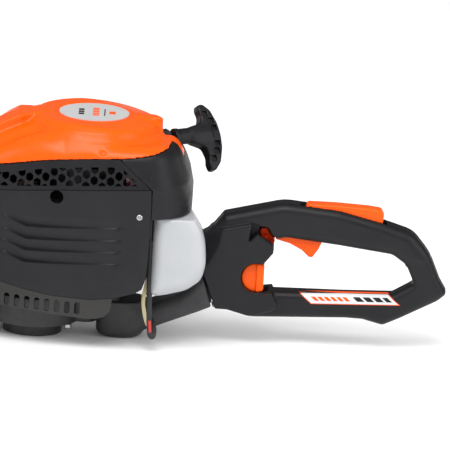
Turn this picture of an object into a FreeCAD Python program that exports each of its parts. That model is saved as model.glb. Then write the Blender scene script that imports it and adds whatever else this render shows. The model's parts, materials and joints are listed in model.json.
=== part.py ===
import FreeCAD, Part
import math
import os
from FreeCAD import Placement, Rotation, Vector

# Petrol hedge trimmer.  While a piece is shaped, the crank axis is the Z axis, +X points to the rear
# handle, -Y is the operator's left and Z = 0 is the ground.  Every piece is then moved by
# origin_shift along X, so that the model's origin is the rest face under the gear case.

doc = FreeCAD.newDocument("hedge_trimmer")
sheet = doc.addObject("Spreadsheet::Sheet", "Dims")

DIMS = {
    "origin_shift": 55.0,
    "shell_wall": 2.6,
    "hub_radius": 63.0,
    "hub_top": 250.0,
    "badge_radius": 38.5,
    "badge_depth": 1.2,
    "cell_width": 7.9,
    "cell_height": 10.5,
    "cell_pitch": 8.97,
    "cell_rise": 12.4,
    "rib_depth": 1.5,
    "peephole_radius": 7.5,
    "screw_radius": 2.5,
    "screw_head_radius": 4.6,
    "shaft_radius": 8.0,
    "running_gap": 0.05,
    "web_radius": 22.0,
    "crank_offset": 14.0,
    "bore_radius": 17.0,
    "gear_module": 1.25,
    "gear_teeth": 72.0,
    "pinion_teeth": 16.0,
    "gear_width": 7.0,
    "eccentric_throw": 8.0,
    "eccentric_radius": 15.0,
    "blade_thickness": 2.6,
    "blade_half_width": 14.0,
    "tooth_pitch": 35.0,
    "tooth_length": 22.0,
    "bar_thickness": 3.5,
    "loop_radius": 10.0,
    "grip_radius": 14.0,
    "rope_plane": 224.0,
    "pulley_radius": 33.0,
    "rope_radius": 1.9,
    "swivel_tilt": 19.2,
    "spigot_radius": 12.0,
    "handle_bar_half": 14.5,
    "handle_body_half": 22.5,
    "handle_grip_half": 17.0,
    "handle_wall": 3.0,
    "tank_half_width": 80.0,
    "tank_wall": 2.5,
}

cell_rows = iter(range(1, 2000))


def add_cell(alias, value):
    row = next(cell_rows)
    sheet.set(f"A{row}", alias)
    sheet.set(f"B{row}", f"{value:g}")
    sheet.setAlias(f"B{row}", alias)


for dim_name, dim_value in DIMS.items():
    add_cell(dim_name, dim_value)
doc.recompute()

nodes = {}


def dim(alias):
    return float(sheet.get(alias))


def bind(obj, prop, value):
    """Bind a property to a cell: text is a formula of aliases, a number gets a cell of its own."""
    if isinstance(value, str):
        words = []
        for word in value.split():
            words.append(f"Dims.{word}" if word in DIMS else word)
        obj.setExpression(prop, " ".join(words))
        return
    alias = f"{obj.Name}_{prop}".lower()
    add_cell(alias, value)
    sheet.recompute()
    obj.setExpression(prop, f"Dims.{alias}")


def facing(axis):
    return Rotation(Vector(0, 0, 1), Vector(*axis))


def cylinder(name, radius, height, base=(0, 0, 0), axis=(0, 0, 1)):
    obj = doc.addObject("Part::Cylinder", name)
    bind(obj, "Radius", radius)
    bind(obj, "Height", height)
    obj.Placement = Placement(Vector(*base), facing(axis))
    return obj


def cone(name, radius1, radius2, height, base=(0, 0, 0), axis=(0, 0, 1)):
    obj = doc.addObject("Part::Cone", name)
    bind(obj, "Radius1", radius1)
    bind(obj, "Radius2", radius2)
    bind(obj, "Height", height)
    obj.Placement = Placement(Vector(*base), facing(axis))
    return obj


def block(name, low, high):
    """Box between two opposite corners."""
    obj = doc.addObject("Part::Box", name)
    for prop, start, end in zip(("Length", "Width", "Height"), low, high):
        bind(obj, prop, round(end - start, 4))
    obj.Placement.Base = Vector(*low)
    return obj


def feature(name, shape):
    obj = doc.addObject("Part::Feature", name)
    obj.Shape = shape
    return obj


def fuse(name, *pieces):
    obj = doc.addObject("Part::MultiFuse", name)
    obj.Shapes = list(pieces)
    return obj


def cut(name, base, *tools):
    obj = doc.addObject("Part::Cut", name)
    obj.Base = base
    obj.Tool = tools[0] if len(tools) == 1 else fuse(f"{name}_tools", *tools)
    return obj


def node(label, obj):
    """Enter a finished piece in the list of sub-parts."""
    obj.Label = label
    nodes[label] = obj
    return obj


def outline(points):
    """Closed outline of lines and tangent arcs.  A point is (x, y) or (x, y, corner radius)."""
    corners = []
    count = len(points)
    for index, point in enumerate(points):
        here = Vector(point[0], point[1])
        if len(point) == 2:
            corners.append((here, None, here))
            continue
        before = Vector(points[index - 1][0], points[index - 1][1]) - here
        after = Vector(points[(index + 1) % count][0], points[(index + 1) % count][1]) - here
        half = before.getAngle(after) / 2
        reach = min(point[2] / math.tan(half), 0.49 * before.Length, 0.49 * after.Length)
        radius = reach * math.tan(half)
        before.normalize()
        after.normalize()
        middle = before + after
        middle.normalize()
        crown = here + middle * (radius / math.sin(half) - radius)
        corners.append((here + before * reach, crown, here + after * reach))
    pieces = []
    for index, (start, crown, end) in enumerate(corners):
        if crown is not None:
            pieces.append(Part.ArcOfCircle(start, crown, end))
        following = corners[(index + 1) % count][0]
        if end.distanceToPoint(following) > 1e-4:
            pieces.append(Part.LineSegment(end, following))
    return pieces


def padded(name, points, depth, plane="XY", middle=(0, 0, 0), holes=()):
    """Body with one pad, made symmetrically about the chosen plane, and placed by its middle."""
    body = doc.addObject("PartDesign::Body", name)
    origin = [item for item in body.Origin.OriginFeatures if item.Role == f"{plane}_Plane"][0]
    sketch = body.newObject("Sketcher::SketchObject", f"{name}_sketch")
    sketch.AttachmentSupport = [(origin, "")]
    sketch.MapMode = "FlatFace"
    for piece in outline(points):
        sketch.addGeometry(piece)
    for x, y, radius in holes:
        sketch.addGeometry(Part.Circle(Vector(x, y, 0), Vector(0, 0, 1), radius))
    pad = body.newObject("PartDesign::Pad", f"{name}_pad")
    pad.Profile = sketch
    pad.Midplane = True
    bind(pad, "Length", depth)
    body.Placement.Base = Vector(*middle)
    return body


def turned(name, points, base=(0, 0, 0), axis=(0, 0, 1)):
    """Body of revolution: points are (radius, height) along the given axis."""
    body = doc.addObject("PartDesign::Body", name)
    origin = [item for item in body.Origin.OriginFeatures if item.Role == "XZ_Plane"][0]
    sketch = body.newObject("Sketcher::SketchObject", f"{name}_sketch")
    sketch.AttachmentSupport = [(origin, "")]
    sketch.MapMode = "FlatFace"
    for piece in outline(points):
        sketch.addGeometry(piece)
    revolution = body.newObject("PartDesign::Revolution", f"{name}_turn")
    revolution.Profile = sketch
    revolution.ReferenceAxis = (sketch, ["V_Axis"])
    body.Placement = Placement(Vector(*base), facing(axis))
    return body


def side_prism(points, low, high):
    """Prism along Y between two Y values, from an outline in X and Z."""
    wire = Part.Wire(Part.__sortEdges__([piece.toShape() for piece in outline(points)]))
    face = Part.Face(wire)
    face.rotate(Vector(0, 0, 0), Vector(1, 0, 0), 90)
    face.translate(Vector(0, low, 0))
    return face.extrude(Vector(0, high - low, 0))


def ring(centre, across, along, half_across, half_along, squareness=2.0, count=20):
    """Closed smooth section: an ellipse that turns into a rounded rectangle as squareness grows."""
    points = []
    for step in range(count):
        angle = 2 * math.pi * step / count
        cosine = math.cos(angle)
        sine = math.sin(angle)
        reach_u = math.copysign(abs(cosine) ** (2 / squareness), cosine) * half_across
        reach_v = math.copysign(abs(sine) ** (2 / squareness), sine) * half_along
        points.append(Vector(*centre) + Vector(*across) * reach_u + Vector(*along) * reach_v)
    curve = Part.BSplineCurve()
    curve.interpolate(points, PeriodicFlag=True)
    return Part.Wire([curve.toShape()])


def tube(points, radius, bend):
    """Round bar along straight runs joined by tangent arcs of one bend radius."""
    route = [Vector(*point) for point in points]
    edges = []
    start = route[0]
    for index in range(1, len(route) - 1):
        here = route[index]
        before = route[index - 1] - here
        after = route[index + 1] - here
        half = before.getAngle(after) / 2
        reach = min(bend / math.tan(half), 0.45 * before.Length, 0.45 * after.Length)
        arc_radius = reach * math.tan(half)
        before.normalize()
        after.normalize()
        inward = before + after
        inward.normalize()
        entry = here + before * reach
        leave = here + after * reach
        crown = here + inward * (arc_radius / math.sin(half) - arc_radius)
        edges.append(Part.LineSegment(start, entry).toShape())
        edges.append(Part.Arc(entry, crown, leave).toShape())
        start = leave
    edges.append(Part.LineSegment(start, route[-1]).toShape())
    path = Part.Wire(edges)
    section = Part.Wire([Part.Circle(route[0], route[1] - route[0], radius).toShape()])
    solid = path.makePipeShell([section], True, False)
    expected = math.pi * radius ** 2 * path.Length
    assert abs(solid.Volume - expected) < 0.01 * expected, "tube volume"
    return solid


# ---------------------------------------------------------------- engine covers

# Half of the widest plan outline, from the rear wall round to the nose.
HALF_PLAN = [
    (113, 0), (113, 30), (109, 54), (98, 74), (77, 88.5), (45, 92.5), (10, 92.5), (-30, 90),
    (-66, 83), (-100, 72), (-132, 57), (-155, 34), (-163, 0),
]


def plan_wire(height, inset):
    """Plan outline at one height, moved inwards by inset."""
    lean = 0.24 * max(0.0, height - 172)
    half = [(x - lean * max(0, x - 60) / 53, y) for x, y in HALF_PLAN]
    loop = half + [(x, -y) for x, y in half[-2:0:-1]]
    points = []
    for index, (x, y) in enumerate(loop):
        ahead = loop[(index + 1) % len(loop)]
        behind = loop[index - 1]
        tangent = Vector(ahead[0] - behind[0], ahead[1] - behind[1])
        tangent.normalize()
        points.append(Vector(x - tangent.y * inset, y + tangent.x * inset, height))
    curve = Part.BSplineCurve()
    curve.interpolate(points, PeriodicFlag=True)
    return Part.Wire([curve.toShape()])


def plan_loft(levels):
    return Part.makeLoft([plan_wire(height, inset) for height, inset in levels], True, True)


wall = dim("shell_wall")
COVER_LEVELS = [(58, 9), (70, 2.5), (90, 0), (185, 0), (217, 7), (232, 11)]
cover_outer = plan_loft(COVER_LEVELS)
cover_inner = plan_loft([(z, inset + wall) for z, inset in [(40, 9)] + COVER_LEVELS[1:-1] + [(240, 11)]])
cover_shell = cover_outer.cut(cover_inner)

# Lower edge of the orange cowl, the crease over the side covers and the seam of the rear shroud.
COWL_SEAM = [
    (-180, 186), (-100, 201), (-48, 212.5), (0, 217.5), (32, 219), (57, 222), (83, 228), (140, 224),
]
CREASE = [(-180, 163), (-98, 174), (-33, 182), (68, 188)]
SEAM_TOP = (32, 219)


def left_and_right(points):
    """One prism that spans both sides of the machine."""
    return side_prism(points, -150, 150)


# Skyline of the cowl's flanks: the deck falls away over the nose and behind the hub.
DECK = [
    (-180, 150), (-180, 190), (-150, 216, 20), (-100, 232, 30), (60, 234), (96, 230, 10), (112, 218, 8),
    (135, 210), (135, 150),
]
hub_radius = dim("hub_radius")
hub_top = dim("hub_top")
hub_profile = [
    Vector(0, 0, 195), Vector(hub_radius + 19, 0, 195), Vector(hub_radius + 17, 0, 226),
    Vector(hub_radius + 11, 0, 232), Vector(hub_radius + 6, 0, 243), Vector(hub_radius + 3.4, 0, 248),
    Vector(hub_radius, 0, hub_top), Vector(0, 0, hub_top), Vector(0, 0, 195),
]
hub_outer = Part.Face(Part.makePolygon(hub_profile)).revolve(Vector(0, 0, 0), Vector(0, 0, 1), 360)
flank_outer = plan_loft([(160, 0), (185, 0), (217, 7), (226, 12), (231, 20), (234, 34)])
flank_outer = flank_outer.common(left_and_right(DECK))
flank_inner = plan_loft([(150, wall), (185, wall), (217, 7 + wall), (224, 15), (228, 24), (231, 40)])
inner_deck = [(x, z - wall - 1) for x, z, *rest in DECK]
flank_inner = flank_inner.common(left_and_right(inner_deck))
plateau_sections = [
    ring((10, 0, 222), (0, 1, 0), (0, 0, 1), 52, 27, 4),
    ring((-60, 0, 219), (0, 1, 0), (0, 0, 1), 46, 26, 4),
    ring((-104, 0, 214), (0, 1, 0), (0, 0, 1), 40, 25, 4),
    ring((-140, 0, 205), (0, 1, 0), (0, 0, 1), 30, 20, 3),
]
plateau_outer = Part.makeLoft(plateau_sections, True, False)


def make_cowl():
    solid = hub_outer.fuse([flank_outer, plateau_outer])
    hollow = flank_inner.copy()
    hub_hollow = Part.makeCylinder(hub_radius + 3, 60, Vector(0, 0, 186))
    front_hollow = Part.makeBox(95, 64, 40, Vector(-110, -32, 190))
    solid = solid.cut(hollow.fuse([hub_hollow, front_hollow]))
    above_seam = COWL_SEAM + [(140, 270), (-180, 270)]
    solid = solid.common(left_and_right(above_seam))
    badge_seat = Part.makeCylinder(dim("badge_radius") + 0.1, 5, Vector(0, 0, hub_top - dim("badge_depth")))
    rope_way = rope_direction()
    exit_point = rope_point(77)
    notch = Part.makeCylinder(14, 90, exit_point, rope_way)
    notch_top = Part.makeBox(28, 90, 60)
    notch_top.Placement = Placement(exit_point, Rotation(Vector(0, 0, 1), -60)) * Placement(
        Vector(-14, 0, 0), Rotation())
    rope_hole = Part.makeCylinder(6.0, 60, rope_point(60), rope_way)
    solid = solid.cut(Part.makeCompound([badge_seat]))
    solid = solid.cut(notch)
    solid = solid.cut(notch_top)
    solid = solid.cut(rope_hole)
    recoil_post = Part.makeCylinder(6, hub_top - 3 - 212, Vector(0, 0, 212))
    spring_wall = Part.makeCylinder(38, 16, Vector(0, 0, 231)).cut(
        Part.makeCylinder(35.5, 16, Vector(0, 0, 231)))
    return solid.fuse([recoil_post, spring_wall])


def rope_direction():
    return Vector(math.cos(math.radians(30)), math.sin(math.radians(30)), 0)


def rope_point(distance):
    """Point on the rope's line, counted from where the rope leaves the pulley."""
    side = Vector(math.sin(math.radians(30)), -math.cos(math.radians(30)), 0)
    start = side * (dim("pulley_radius") + dim("rope_radius")) + Vector(0, 0, dim("rope_plane"))
    return start + rope_direction() * distance


def hex_prism(x, z, low, high):
    """Six-sided cell with its points up and down."""
    half_width = dim("cell_width") / 2
    half_height = dim("cell_height") / 2
    corners = [
        (0, half_height), (half_width, half_height / 2), (half_width, -half_height / 2),
        (0, -half_height), (-half_width, -half_height / 2), (-half_width, half_height / 2),
    ]
    return side_prism([(x + dx, z + dz) for dx, dz in corners], low, high)


def make_grille(side):
    """Honeycomb panel of one side: side is -1 on the operator's left and 1 on the right."""
    region = CREASE + [SEAM_TOP] + COWL_SEAM[3::-1]
    low, high = sorted((0, side * 150))
    panel = cover_shell.common(side_prism(region, low, high))
    cells = []
    for column in range(-2, 17):
        x = 40.8 - column * dim("cell_pitch")
        first = 194.7 if column % 2 == 0 else 194.7 - dim("cell_rise") / 2
        crease_z = 184 + (0.059 if x > -33 else 0.123) * (x + 33)
        seam_z = 217.5 + (0.045 if x > 0 else 0.13) * x
        diagonal_z = 213 - (x - 32) * 0.86
        for row in range(3):
            z = first + row * dim("cell_rise")
            if z - 8.5 > crease_z and z + 8 < min(seam_z, diagonal_z + 5):
                cells.append(hex_prism(x, z, low, high))
    return panel.cut(Part.makeCompound(cells))


def make_side_cover(side):
    region = [(-180, 50), (68, 50), (68, 188), (-33, 182), (-98, 174), (-180, 163)]
    low, high = sorted((0, side * 150))
    edge = [(-180, 50), (-180, 76), (-92, 71, 60), (-37, 61, 60), (7, 59, 60), (34, 62, 40), (56, 68, 12),
            (66, 80, 20), (69, 110), (69, 50)]
    cover = cover_shell.common(side_prism(region, low, high))
    cover = cover.cut(side_prism(edge, low, high))
    tools = [Part.makeCylinder(dim("peephole_radius"), 150, Vector(-35, 0, 174), Vector(0, side, 0)),
             Part.makeCylinder(dim("screw_radius"), 150, Vector(56.7, 0, 157), Vector(0, side, 0))]
    cover = cover.cut(Part.makeCompound(tools))
    slots = []
    for start_z in (136, 122.5, 109.5, 96):
        groove = [(-67, start_z), (35, start_z + 6), (35, start_z + 3), (-67, start_z - 4)]
        slots.append(side_prism(groove, low, high))
    skin = plan_loft([(z, inset + dim("rib_depth")) for z, inset in COVER_LEVELS])
    deep = Part.makeCompound(slots).common(cover_outer).cut(skin)
    return cover.cut(deep)


cowl = node("starter_cowl", feature("starter_cowl", make_cowl()))
left_grille = node("left_intake_grille", feature("left_intake_grille", make_grille(-1)))
right_grille = node("right_intake_grille", feature("right_intake_grille", make_grille(1)))
left_cover = node("left_side_cover", feature("left_side_cover", make_side_cover(-1)))

FILTER_DOOR = [(-106, 78, 10), (-24, 78, 10), (-24, 152, 10), (-106, 152, 10)]
right_cover_shape = make_side_cover(1)
door_prism = side_prism(FILTER_DOOR, 0, 150)
choke_hole = Part.makeCylinder(3.3, 60, Vector(-20, 70, 126), Vector(0, 1, 0))
primer_hole = Part.makeCylinder(11.3, 60, Vector(20, 70, 84), Vector(0, 1, 0))
for opening in (door_prism, choke_hole, primer_hole):
    right_cover_shape = right_cover_shape.cut(opening)
node("right_side_cover", feature("right_side_cover", right_cover_shape))
door_loft = plan_loft([(58, 5), (70, -1.5), (90, -4), (185, -4), (217, 3)])
filter_door = door_loft.cut(plan_loft([(40, 12), (70, 5), (90, 3), (185, 3), (217, 9)])).common(
    side_prism([(-105.8, 78.2, 10), (-24.2, 78.2, 10), (-24.2, 151.8, 10), (-105.8, 151.8, 10)], 0, 150))
node("air_filter_cover", feature("air_filter_cover", filter_door))

shroud_region = [
    (68, 138), (96, 143), (114, 149), (140, 147), (140, 224), (83, 228), (57, 222), SEAM_TOP, (68, 188),
]
rear_shroud = cover_shell.common(left_and_right(shroud_region)).cut(
    Part.makeCylinder(14, 90, rope_point(77), rope_direction()))
shroud_deck = left_and_right([(60, 120), (60, 240), (96, 230, 10), (112, 218, 8), (135, 205), (135, 120)])
node("rear_shroud", feature("rear_shroud", rear_shroud.common(shroud_deck)))

GUARD_EDGE = [
    (-180, 60), (-180, 48), (-90, 42), (-14, 37.4), (10, 35.5, 12), (24, 39.6, 8), (30, 46, 6),
    (31.5, 54), (31.5, 62.5), (7, 59), (-37, 61), (-92, 71), (-180, 76),
]
guard_levels = [(30, 8), (80, 8)]
guard_shell = plan_loft(guard_levels).cut(plan_loft([(z, inset + 3) for z, inset in guard_levels]))
guard_shell = guard_shell.common(left_and_right(GUARD_EDGE)).cut(cover_outer)
guard_slots = []
for index in range(14):
    slot_x = -6.8 - index * 11.4
    slot_z = 45.6 + index * 1.15
    slot = [(slot_x - 3.3, slot_z - 7, 3), (slot_x + 3.3, slot_z - 7, 3), (slot_x + 3.3, slot_z + 7, 3),
            (slot_x - 3.3, slot_z + 7, 3)]
    if slot_x > -140:
        guard_slots.append(left_and_right(slot))
nose_way = Part.makeBox(80, 50.4, 30, Vector(-190, -25.2, 17))
guard_shell = guard_shell.cut(Part.makeCompound(guard_slots)).cut(nose_way)
node("lower_guard", feature("lower_guard", guard_shell))

node("cowl_badge", cylinder("cowl_badge", "badge_radius", "badge_depth", (0, 0, 248.8)))


def cover_screw(name, side):
    shank = cylinder(f"{name}_shank", "screw_radius", 12, (56.7, side * 92.5, 157), (0, -side, 0))
    head = cone(f"{name}_head", "screw_head_radius", 3.2, 2.6, (56.7, side * 92.5, 157), (0, side, 0))
    return fuse(name, shank, head)


node("cover_screws", fuse("cover_screws", cover_screw("left_screw", -1), cover_screw("right_screw", 1)))

grommet_axis = tuple(rope_direction())
node("rope_grommet", turned(
    "rope_grommet", [(2.4, 66), (6.0, 66), (6.0, 77.2), (9.5, 77.2), (9.5, 81), (2.4, 81)],
    tuple(rope_point(0)), grommet_axis))

# ---------------------------------------------------------------- swivel axis of the rear handle

swivel = math.radians(dim("swivel_tilt"))
SWIVEL_AXIS = Vector(math.cos(swivel), 0, math.sin(swivel))
SWIVEL_UP = Vector(-math.sin(swivel), 0, math.cos(swivel))
SWIVEL_CENTRE = Vector(136, 0, 57)


def swivel_point(along, up=0.0, side=0.0):
    """Point given along the axis, above it and to its side."""
    return SWIVEL_CENTRE + SWIVEL_AXIS * along + SWIVEL_UP * up + Vector(0, side, 0)


def swivel_frame(along):
    """Placement at a point of the axis, with its X direction along the axis."""
    return Placement(swivel_point(along), Rotation(Vector(0, 1, 0), -dim("swivel_tilt")))


# ---------------------------------------------------------------- fuel tank

TANK_SIDE = [
    (75, 63, 10), (92, 66, 14), (112, 72, 24), (128, 84, 24), (134.5, 104, 30), (132, 124, 30),
    (125, 141, 3), (112, 146, 5), (96, 140, 5), (75, 135.5, 4),
]
tank_half = dim("tank_half_width")
tank_wall = dim("tank_wall")
tank_outer = side_prism(TANK_SIDE, -tank_half, tank_half)
rim_edges = [edge for edge in tank_outer.Edges if abs(abs(edge.CenterOfMass.y) - tank_half) < 0.1]
tank_outer = tank_outer.makeFillet(9, rim_edges)
recess = side_prism([(112.5, 40), (150, 40), (150, 160), (112.5, 160)], -33, 33)
far_slope = side_prism([(112.5, 108), (133, 85), (150, 80), (150, 160), (112.5, 160)], 33, 95)
handle_sweep = Part.makeCylinder(70.5, 60, swivel_point(6.2), SWIVEL_AXIS)
tank_outer = tank_outer.cut(recess.fuse([far_slope, handle_sweep]))
neck_seat = Vector(93, 60, 108)
tank_outer = tank_outer.fuse(Part.makeCylinder(16, 28, neck_seat, Vector(0, 1, 0)))
tank_inner = side_prism(
    [(78, 68, 8), (92, 70, 12), (103, 75, 16), (109, 88), (109, 138), (96, 136), (78, 132)],
    -tank_half + 6, tank_half - 6)
tank_inner = tank_inner.fuse(Part.makeCylinder(11, 40, neck_seat, Vector(0, 1, 0)))
node("fuel_tank", feature("fuel_tank", tank_outer.cut(tank_inner)))
node("fuel_cap", fuse(
    "fuel_cap",
    cylinder("cap_plug", 10.9, 12, (93, 78, 108), (0, 1, 0)),
    cylinder("cap_disc", 19, 9, (93, 88.3, 108), (0, 1, 0)),
    block("cap_wing", (77, 97.3, 105.5), (109, 103, 110.5))))

# ---------------------------------------------------------------- gear case

GEAR_X = -55.0
gear_at = (GEAR_X, 0, 0)


def case_plan(name, bottom, top, wide):
    """Plan of the gear case: round about the gear, a neck to the crank axis and a long nose."""
    return fuse(
        name,
        cylinder(f"{name}_round", 50.0 + wide, top - bottom, (GEAR_X, 0, bottom)),
        cylinder(f"{name}_neck", 15.6 + wide, top - bottom, (0, 0, bottom)),
        block(f"{name}_bridge", (GEAR_X, -15.6 - wide, bottom), (0, 15.6 + wide, top)),
        block(f"{name}_nose", (-206, -24 - wide, bottom), (GEAR_X, 24 + wide, top)))


cover_plate = fuse(
    "case_floor",
    case_plan("floor_plan", 15, 19, 0.0),
    cylinder("gear_boss", 32.5, 16, (GEAR_X, 0, 0)),
    cylinder("pinion_boss", 9, 7.5, (0, 0, 18.5)),
    block("front_foot", (-202, -24, 0), (-168, 24, 16)))
node("gearcase_cover", cut(
    "gearcase_cover", cover_plate,
    cylinder("gear_shaft_bore", "shaft_radius + running_gap", 30, (GEAR_X, 0, 3)),
    cylinder("pinion_shaft_bore", 5.05, 20, (0, 0, 17))))

housing_solid = fuse(
    "housing_solid",
    case_plan("housing_plan", 19, 46, 0.0),
    cylinder("clutch_wall", 43, 20, (0, 0, 46)))
node("gearcase_housing", cut(
    "gearcase_housing", housing_solid,
    cylinder("gear_room", 46.8, 24, (GEAR_X, 0, 19)),
    cylinder("pinion_room", 12.6, 24, (0, 0, 19)),
    block("bridge_room", (GEAR_X, -12.6, 19), (0, 12.6, 43)),
    block("strap_room", (-140, -18, 19), (GEAR_X, 18, 34.6)),
    block("blade_way", (-207, -17, 18.9), (-120, 17, 28.6)),
    cylinder("clutch_room", 39.5, 30, (0, 0, 48.5)),
    cylinder("pinion_bearing", 7.05, 20, (0, 0, 40)),
    cylinder("gear_top_bearing", 6.05, 20, (GEAR_X, 0, 40))))

bolt_places = [(-160, 20.5), (-160, -20.5)]
for angle in (35, 145, 215, 325):
    bolt_places.append((GEAR_X + 48 * math.cos(math.radians(angle)), 48 * math.sin(math.radians(angle))))
bolt_heads = []
for number, (x, y) in enumerate(bolt_places):
    bolt_heads.append(cylinder(f"case_bolt_{number}", 4.2, 3.5, (x, y, 11.5)))
node("gearcase_bolts", fuse("gearcase_bolts", *bolt_heads))


def gear_outline(teeth, tooth_share):
    """Straight-flanked teeth; tooth_share is the part of the pitch that each tooth fills."""
    module = dim("gear_module")
    pitch_radius = module * teeth / 2
    tip_radius = pitch_radius + 0.9 * module
    root_radius = pitch_radius - 1.25 * module
    pitch_angle = 2 * math.pi / teeth
    points = []
    for tooth in range(int(teeth)):
        middle = tooth * pitch_angle
        flank = [(root_radius, -0.30 - tooth_share / 4), (tip_radius, -tooth_share / 4),
                 (tip_radius, tooth_share / 4), (root_radius, 0.30 + tooth_share / 4)]
        for radius, part in flank:
            angle = middle + part * pitch_angle
            points.append((radius * math.cos(angle), radius * math.sin(angle)))
    return points


throw = dim("eccentric_throw")
gear_wheel = padded(
    "gear_wheel", gear_outline(dim("gear_teeth"), 0.34), "gear_width", "XY", (GEAR_X, 0, 38.5))
node("eccentric_gear", fuse(
    "eccentric_gear", gear_wheel,
    cylinder("gear_lower_shaft", "shaft_radius", 22, (GEAR_X, 0, 3.2)),
    cylinder("eccentric_low", "eccentric_radius", 4.5, (GEAR_X + throw, 0, 25.1)),
    cylinder("eccentric_high", "eccentric_radius", 5.6, (GEAR_X - throw, 0, 29.6)),
    cylinder("gear_upper_shaft", 6, 5.8, (GEAR_X, 0, 40))))

pinion_wheel = padded("pinion_wheel", gear_outline(dim("pinion_teeth"), 0.34), 8.0, "XY", (0, 0, 38.5))
pinion_wheel.Placement.Rotation = Rotation(Vector(0, 0, 1), 360 / (2 * dim("pinion_teeth")))
node("clutch_drum", fuse(
    "clutch_drum", pinion_wheel,
    cylinder("drum_lower_journal", 5, 18, (0, 0, 17.2)),
    cylinder("drum_upper_journal", 7, 8, (0, 0, 42)),
    turned("drum_cup", [(0, 49.2), (38.5, 49.2, 2), (38.5, 64), (36, 64), (36, 51.8), (0, 51.8)])))


def strap(name, centre_x, height, thickness):
    """Connecting strap: a ring about the eccentric and an arm with an eye above the blade."""
    eye_x = -113.0
    body = fuse(
        f"{name}_solid",
        cylinder(f"{name}_ring", 20.5, thickness, (centre_x, 0, height)),
        block(f"{name}_arm", (eye_x, -7, height), (centre_x - 10, 7, height + thickness)),
        cylinder(f"{name}_eye", 8, thickness, (eye_x, 0, height)))
    return cut(
        name, body,
        cylinder(f"{name}_bore", "eccentric_radius + running_gap", 12, (centre_x, 0, height - 2)),
        cylinder(f"{name}_pin_hole", 5, 12, (eye_x, 0, height - 2)))


node("lower_strap", strap("lower_strap", GEAR_X + throw, 25.3, 3.8))
node("upper_strap", strap("upper_strap", GEAR_X - throw, 30.0, 3.8))

# ---------------------------------------------------------------- blades and guide bar

BLADE_START = -98.0
TOOTH_START = -225.0
TOOTH_COUNT = 16


def blade_outline(reach):
    """Two-sided reciprocating blade: a straight bar with tapered teeth along both edges."""
    half = dim("blade_half_width")
    pitch = dim("tooth_pitch")
    length = dim("tooth_length")
    upper = []
    for index in range(TOOTH_COUNT):
        x = TOOTH_START - index * pitch
        upper += [(x, half), (x - 4, half + length), (x - 10, half + length), (x - 19, half)]
    end = TOOTH_START - TOOTH_COUNT * pitch - reach
    lower = [(x, -y) for x, y in reversed(upper)]
    return [(BLADE_START, half), *upper, (end, half), (end - 8, 4), (end - 8, -4), (end, -half), *lower,
            (BLADE_START, -half)]


def blade(name, height, reach):
    slab = padded(
        f"{name}_slab", blade_outline(reach), "blade_thickness", "XY",
        (0, 0, height + dim("blade_thickness") / 2), [(-113, 0, 4.6)])
    slots = []
    for index, x in enumerate(BOLT_X):
        slots.append(padded(
            f"{name}_slot_{index}",
            [(x - 12.5, -4.2, 4.19), (x + 12.5, -4.2, 4.19), (x + 12.5, 4.2, 4.19), (x - 12.5, 4.2, 4.19)],
            8.0, "XY", (0, 0, height)))
    return cut(name, slab, *slots)


BOLT_X = [-190.0 - 118.0 * step for step in range(5)]
node("lower_blade", blade("lower_blade", 19.2, 2))
node("upper_blade", blade("upper_blade", 22.0, 2))
node("guide_bar", padded(
    "guide_bar",
    [(-140, 13), (-140, -13), (-760, -13, 6), (-772, 0, 8), (-760, 13, 6)],
    "bar_thickness", "XY", (0, 0, 26.6), [(x, 0, 3.9) for x in BOLT_X[1:]]))
bar_bolts = []
for index, x in enumerate(BOLT_X[1:]):
    bar_bolts.append(fuse(
        f"bar_bolt_{index}",
        cylinder(f"bar_bolt_shank_{index}", 3.9, 14.0, (x, 0, 16.1)),
        cylinder(f"bar_bolt_washer_{index}", 8.5, 1.6, (x, 0, 17.4)),
        cylinder(f"bar_bolt_head_{index}", 5.5, 4, (x, 0, 13.4)),
        cylinder(f"bar_bolt_nut_{index}", 5.5, 4.5, (x, 0, 28.35))))
node("blade_bolts", fuse("blade_bolts", *bar_bolts))

# ---------------------------------------------------------------- engine

crankcase_solid = fuse(
    "crankcase_solid",
    cylinder("case_flange", 43, 4, (0, 0, 66)),
    cylinder("case_neck", 18, 20, (0, 0, 69)),
    cylinder("case_drum", 29, 46, (0, 0, 87)),
    cylinder("case_top_neck", 15, 22, (0, 0, 132)),
    block("case_cylinder_seat", (-31, -24, 88), (0, 24, 132)))
node("crankcase", cut(
    "crankcase", crankcase_solid,
    cylinder("web_room", 23.5, 36, (0, 0, 92)),
    cylinder("lower_bearing", "shaft_radius + running_gap", 40, (0, 0, 60)),
    cylinder("upper_bearing", "shaft_radius + running_gap", 40, (0, 0, 120)),
    cylinder("rod_way", "bore_radius", 34, (0, 0, 110), (-1, 0, 0))))

offset = dim("crank_offset")
node("crankshaft", fuse(
    "crankshaft",
    cylinder("lower_journal", "shaft_radius", 50, (0, 0, 56)),
    cylinder("upper_journal", "shaft_radius", 82, (0, 0, 117)),
    cylinder("lower_web", "web_radius", 7, (0, 0, 98.5)),
    cylinder("upper_web", "web_radius", 7, (0, 0, 114.5)),
    cylinder("lower_pin_stub", 5, 1.0, (-offset, 0, 105.5)),
    cylinder("upper_pin_stub", 5, 1.0, (-offset, 0, 113.5))))

node("clutch_shoes", cut(
    "clutch_shoes",
    cylinder("shoe_disc", 34.5, 9, (0, 0, 53.5)),
    cylinder("shoe_core", "shaft_radius", 12, (0, 0, 52.5)),
    block("shoe_gap", (-40, -3, 52), (-11, 3, 64)),
    block("shoe_gap_rear", (11, -3, 52), (40, 3, 64))))

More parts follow.
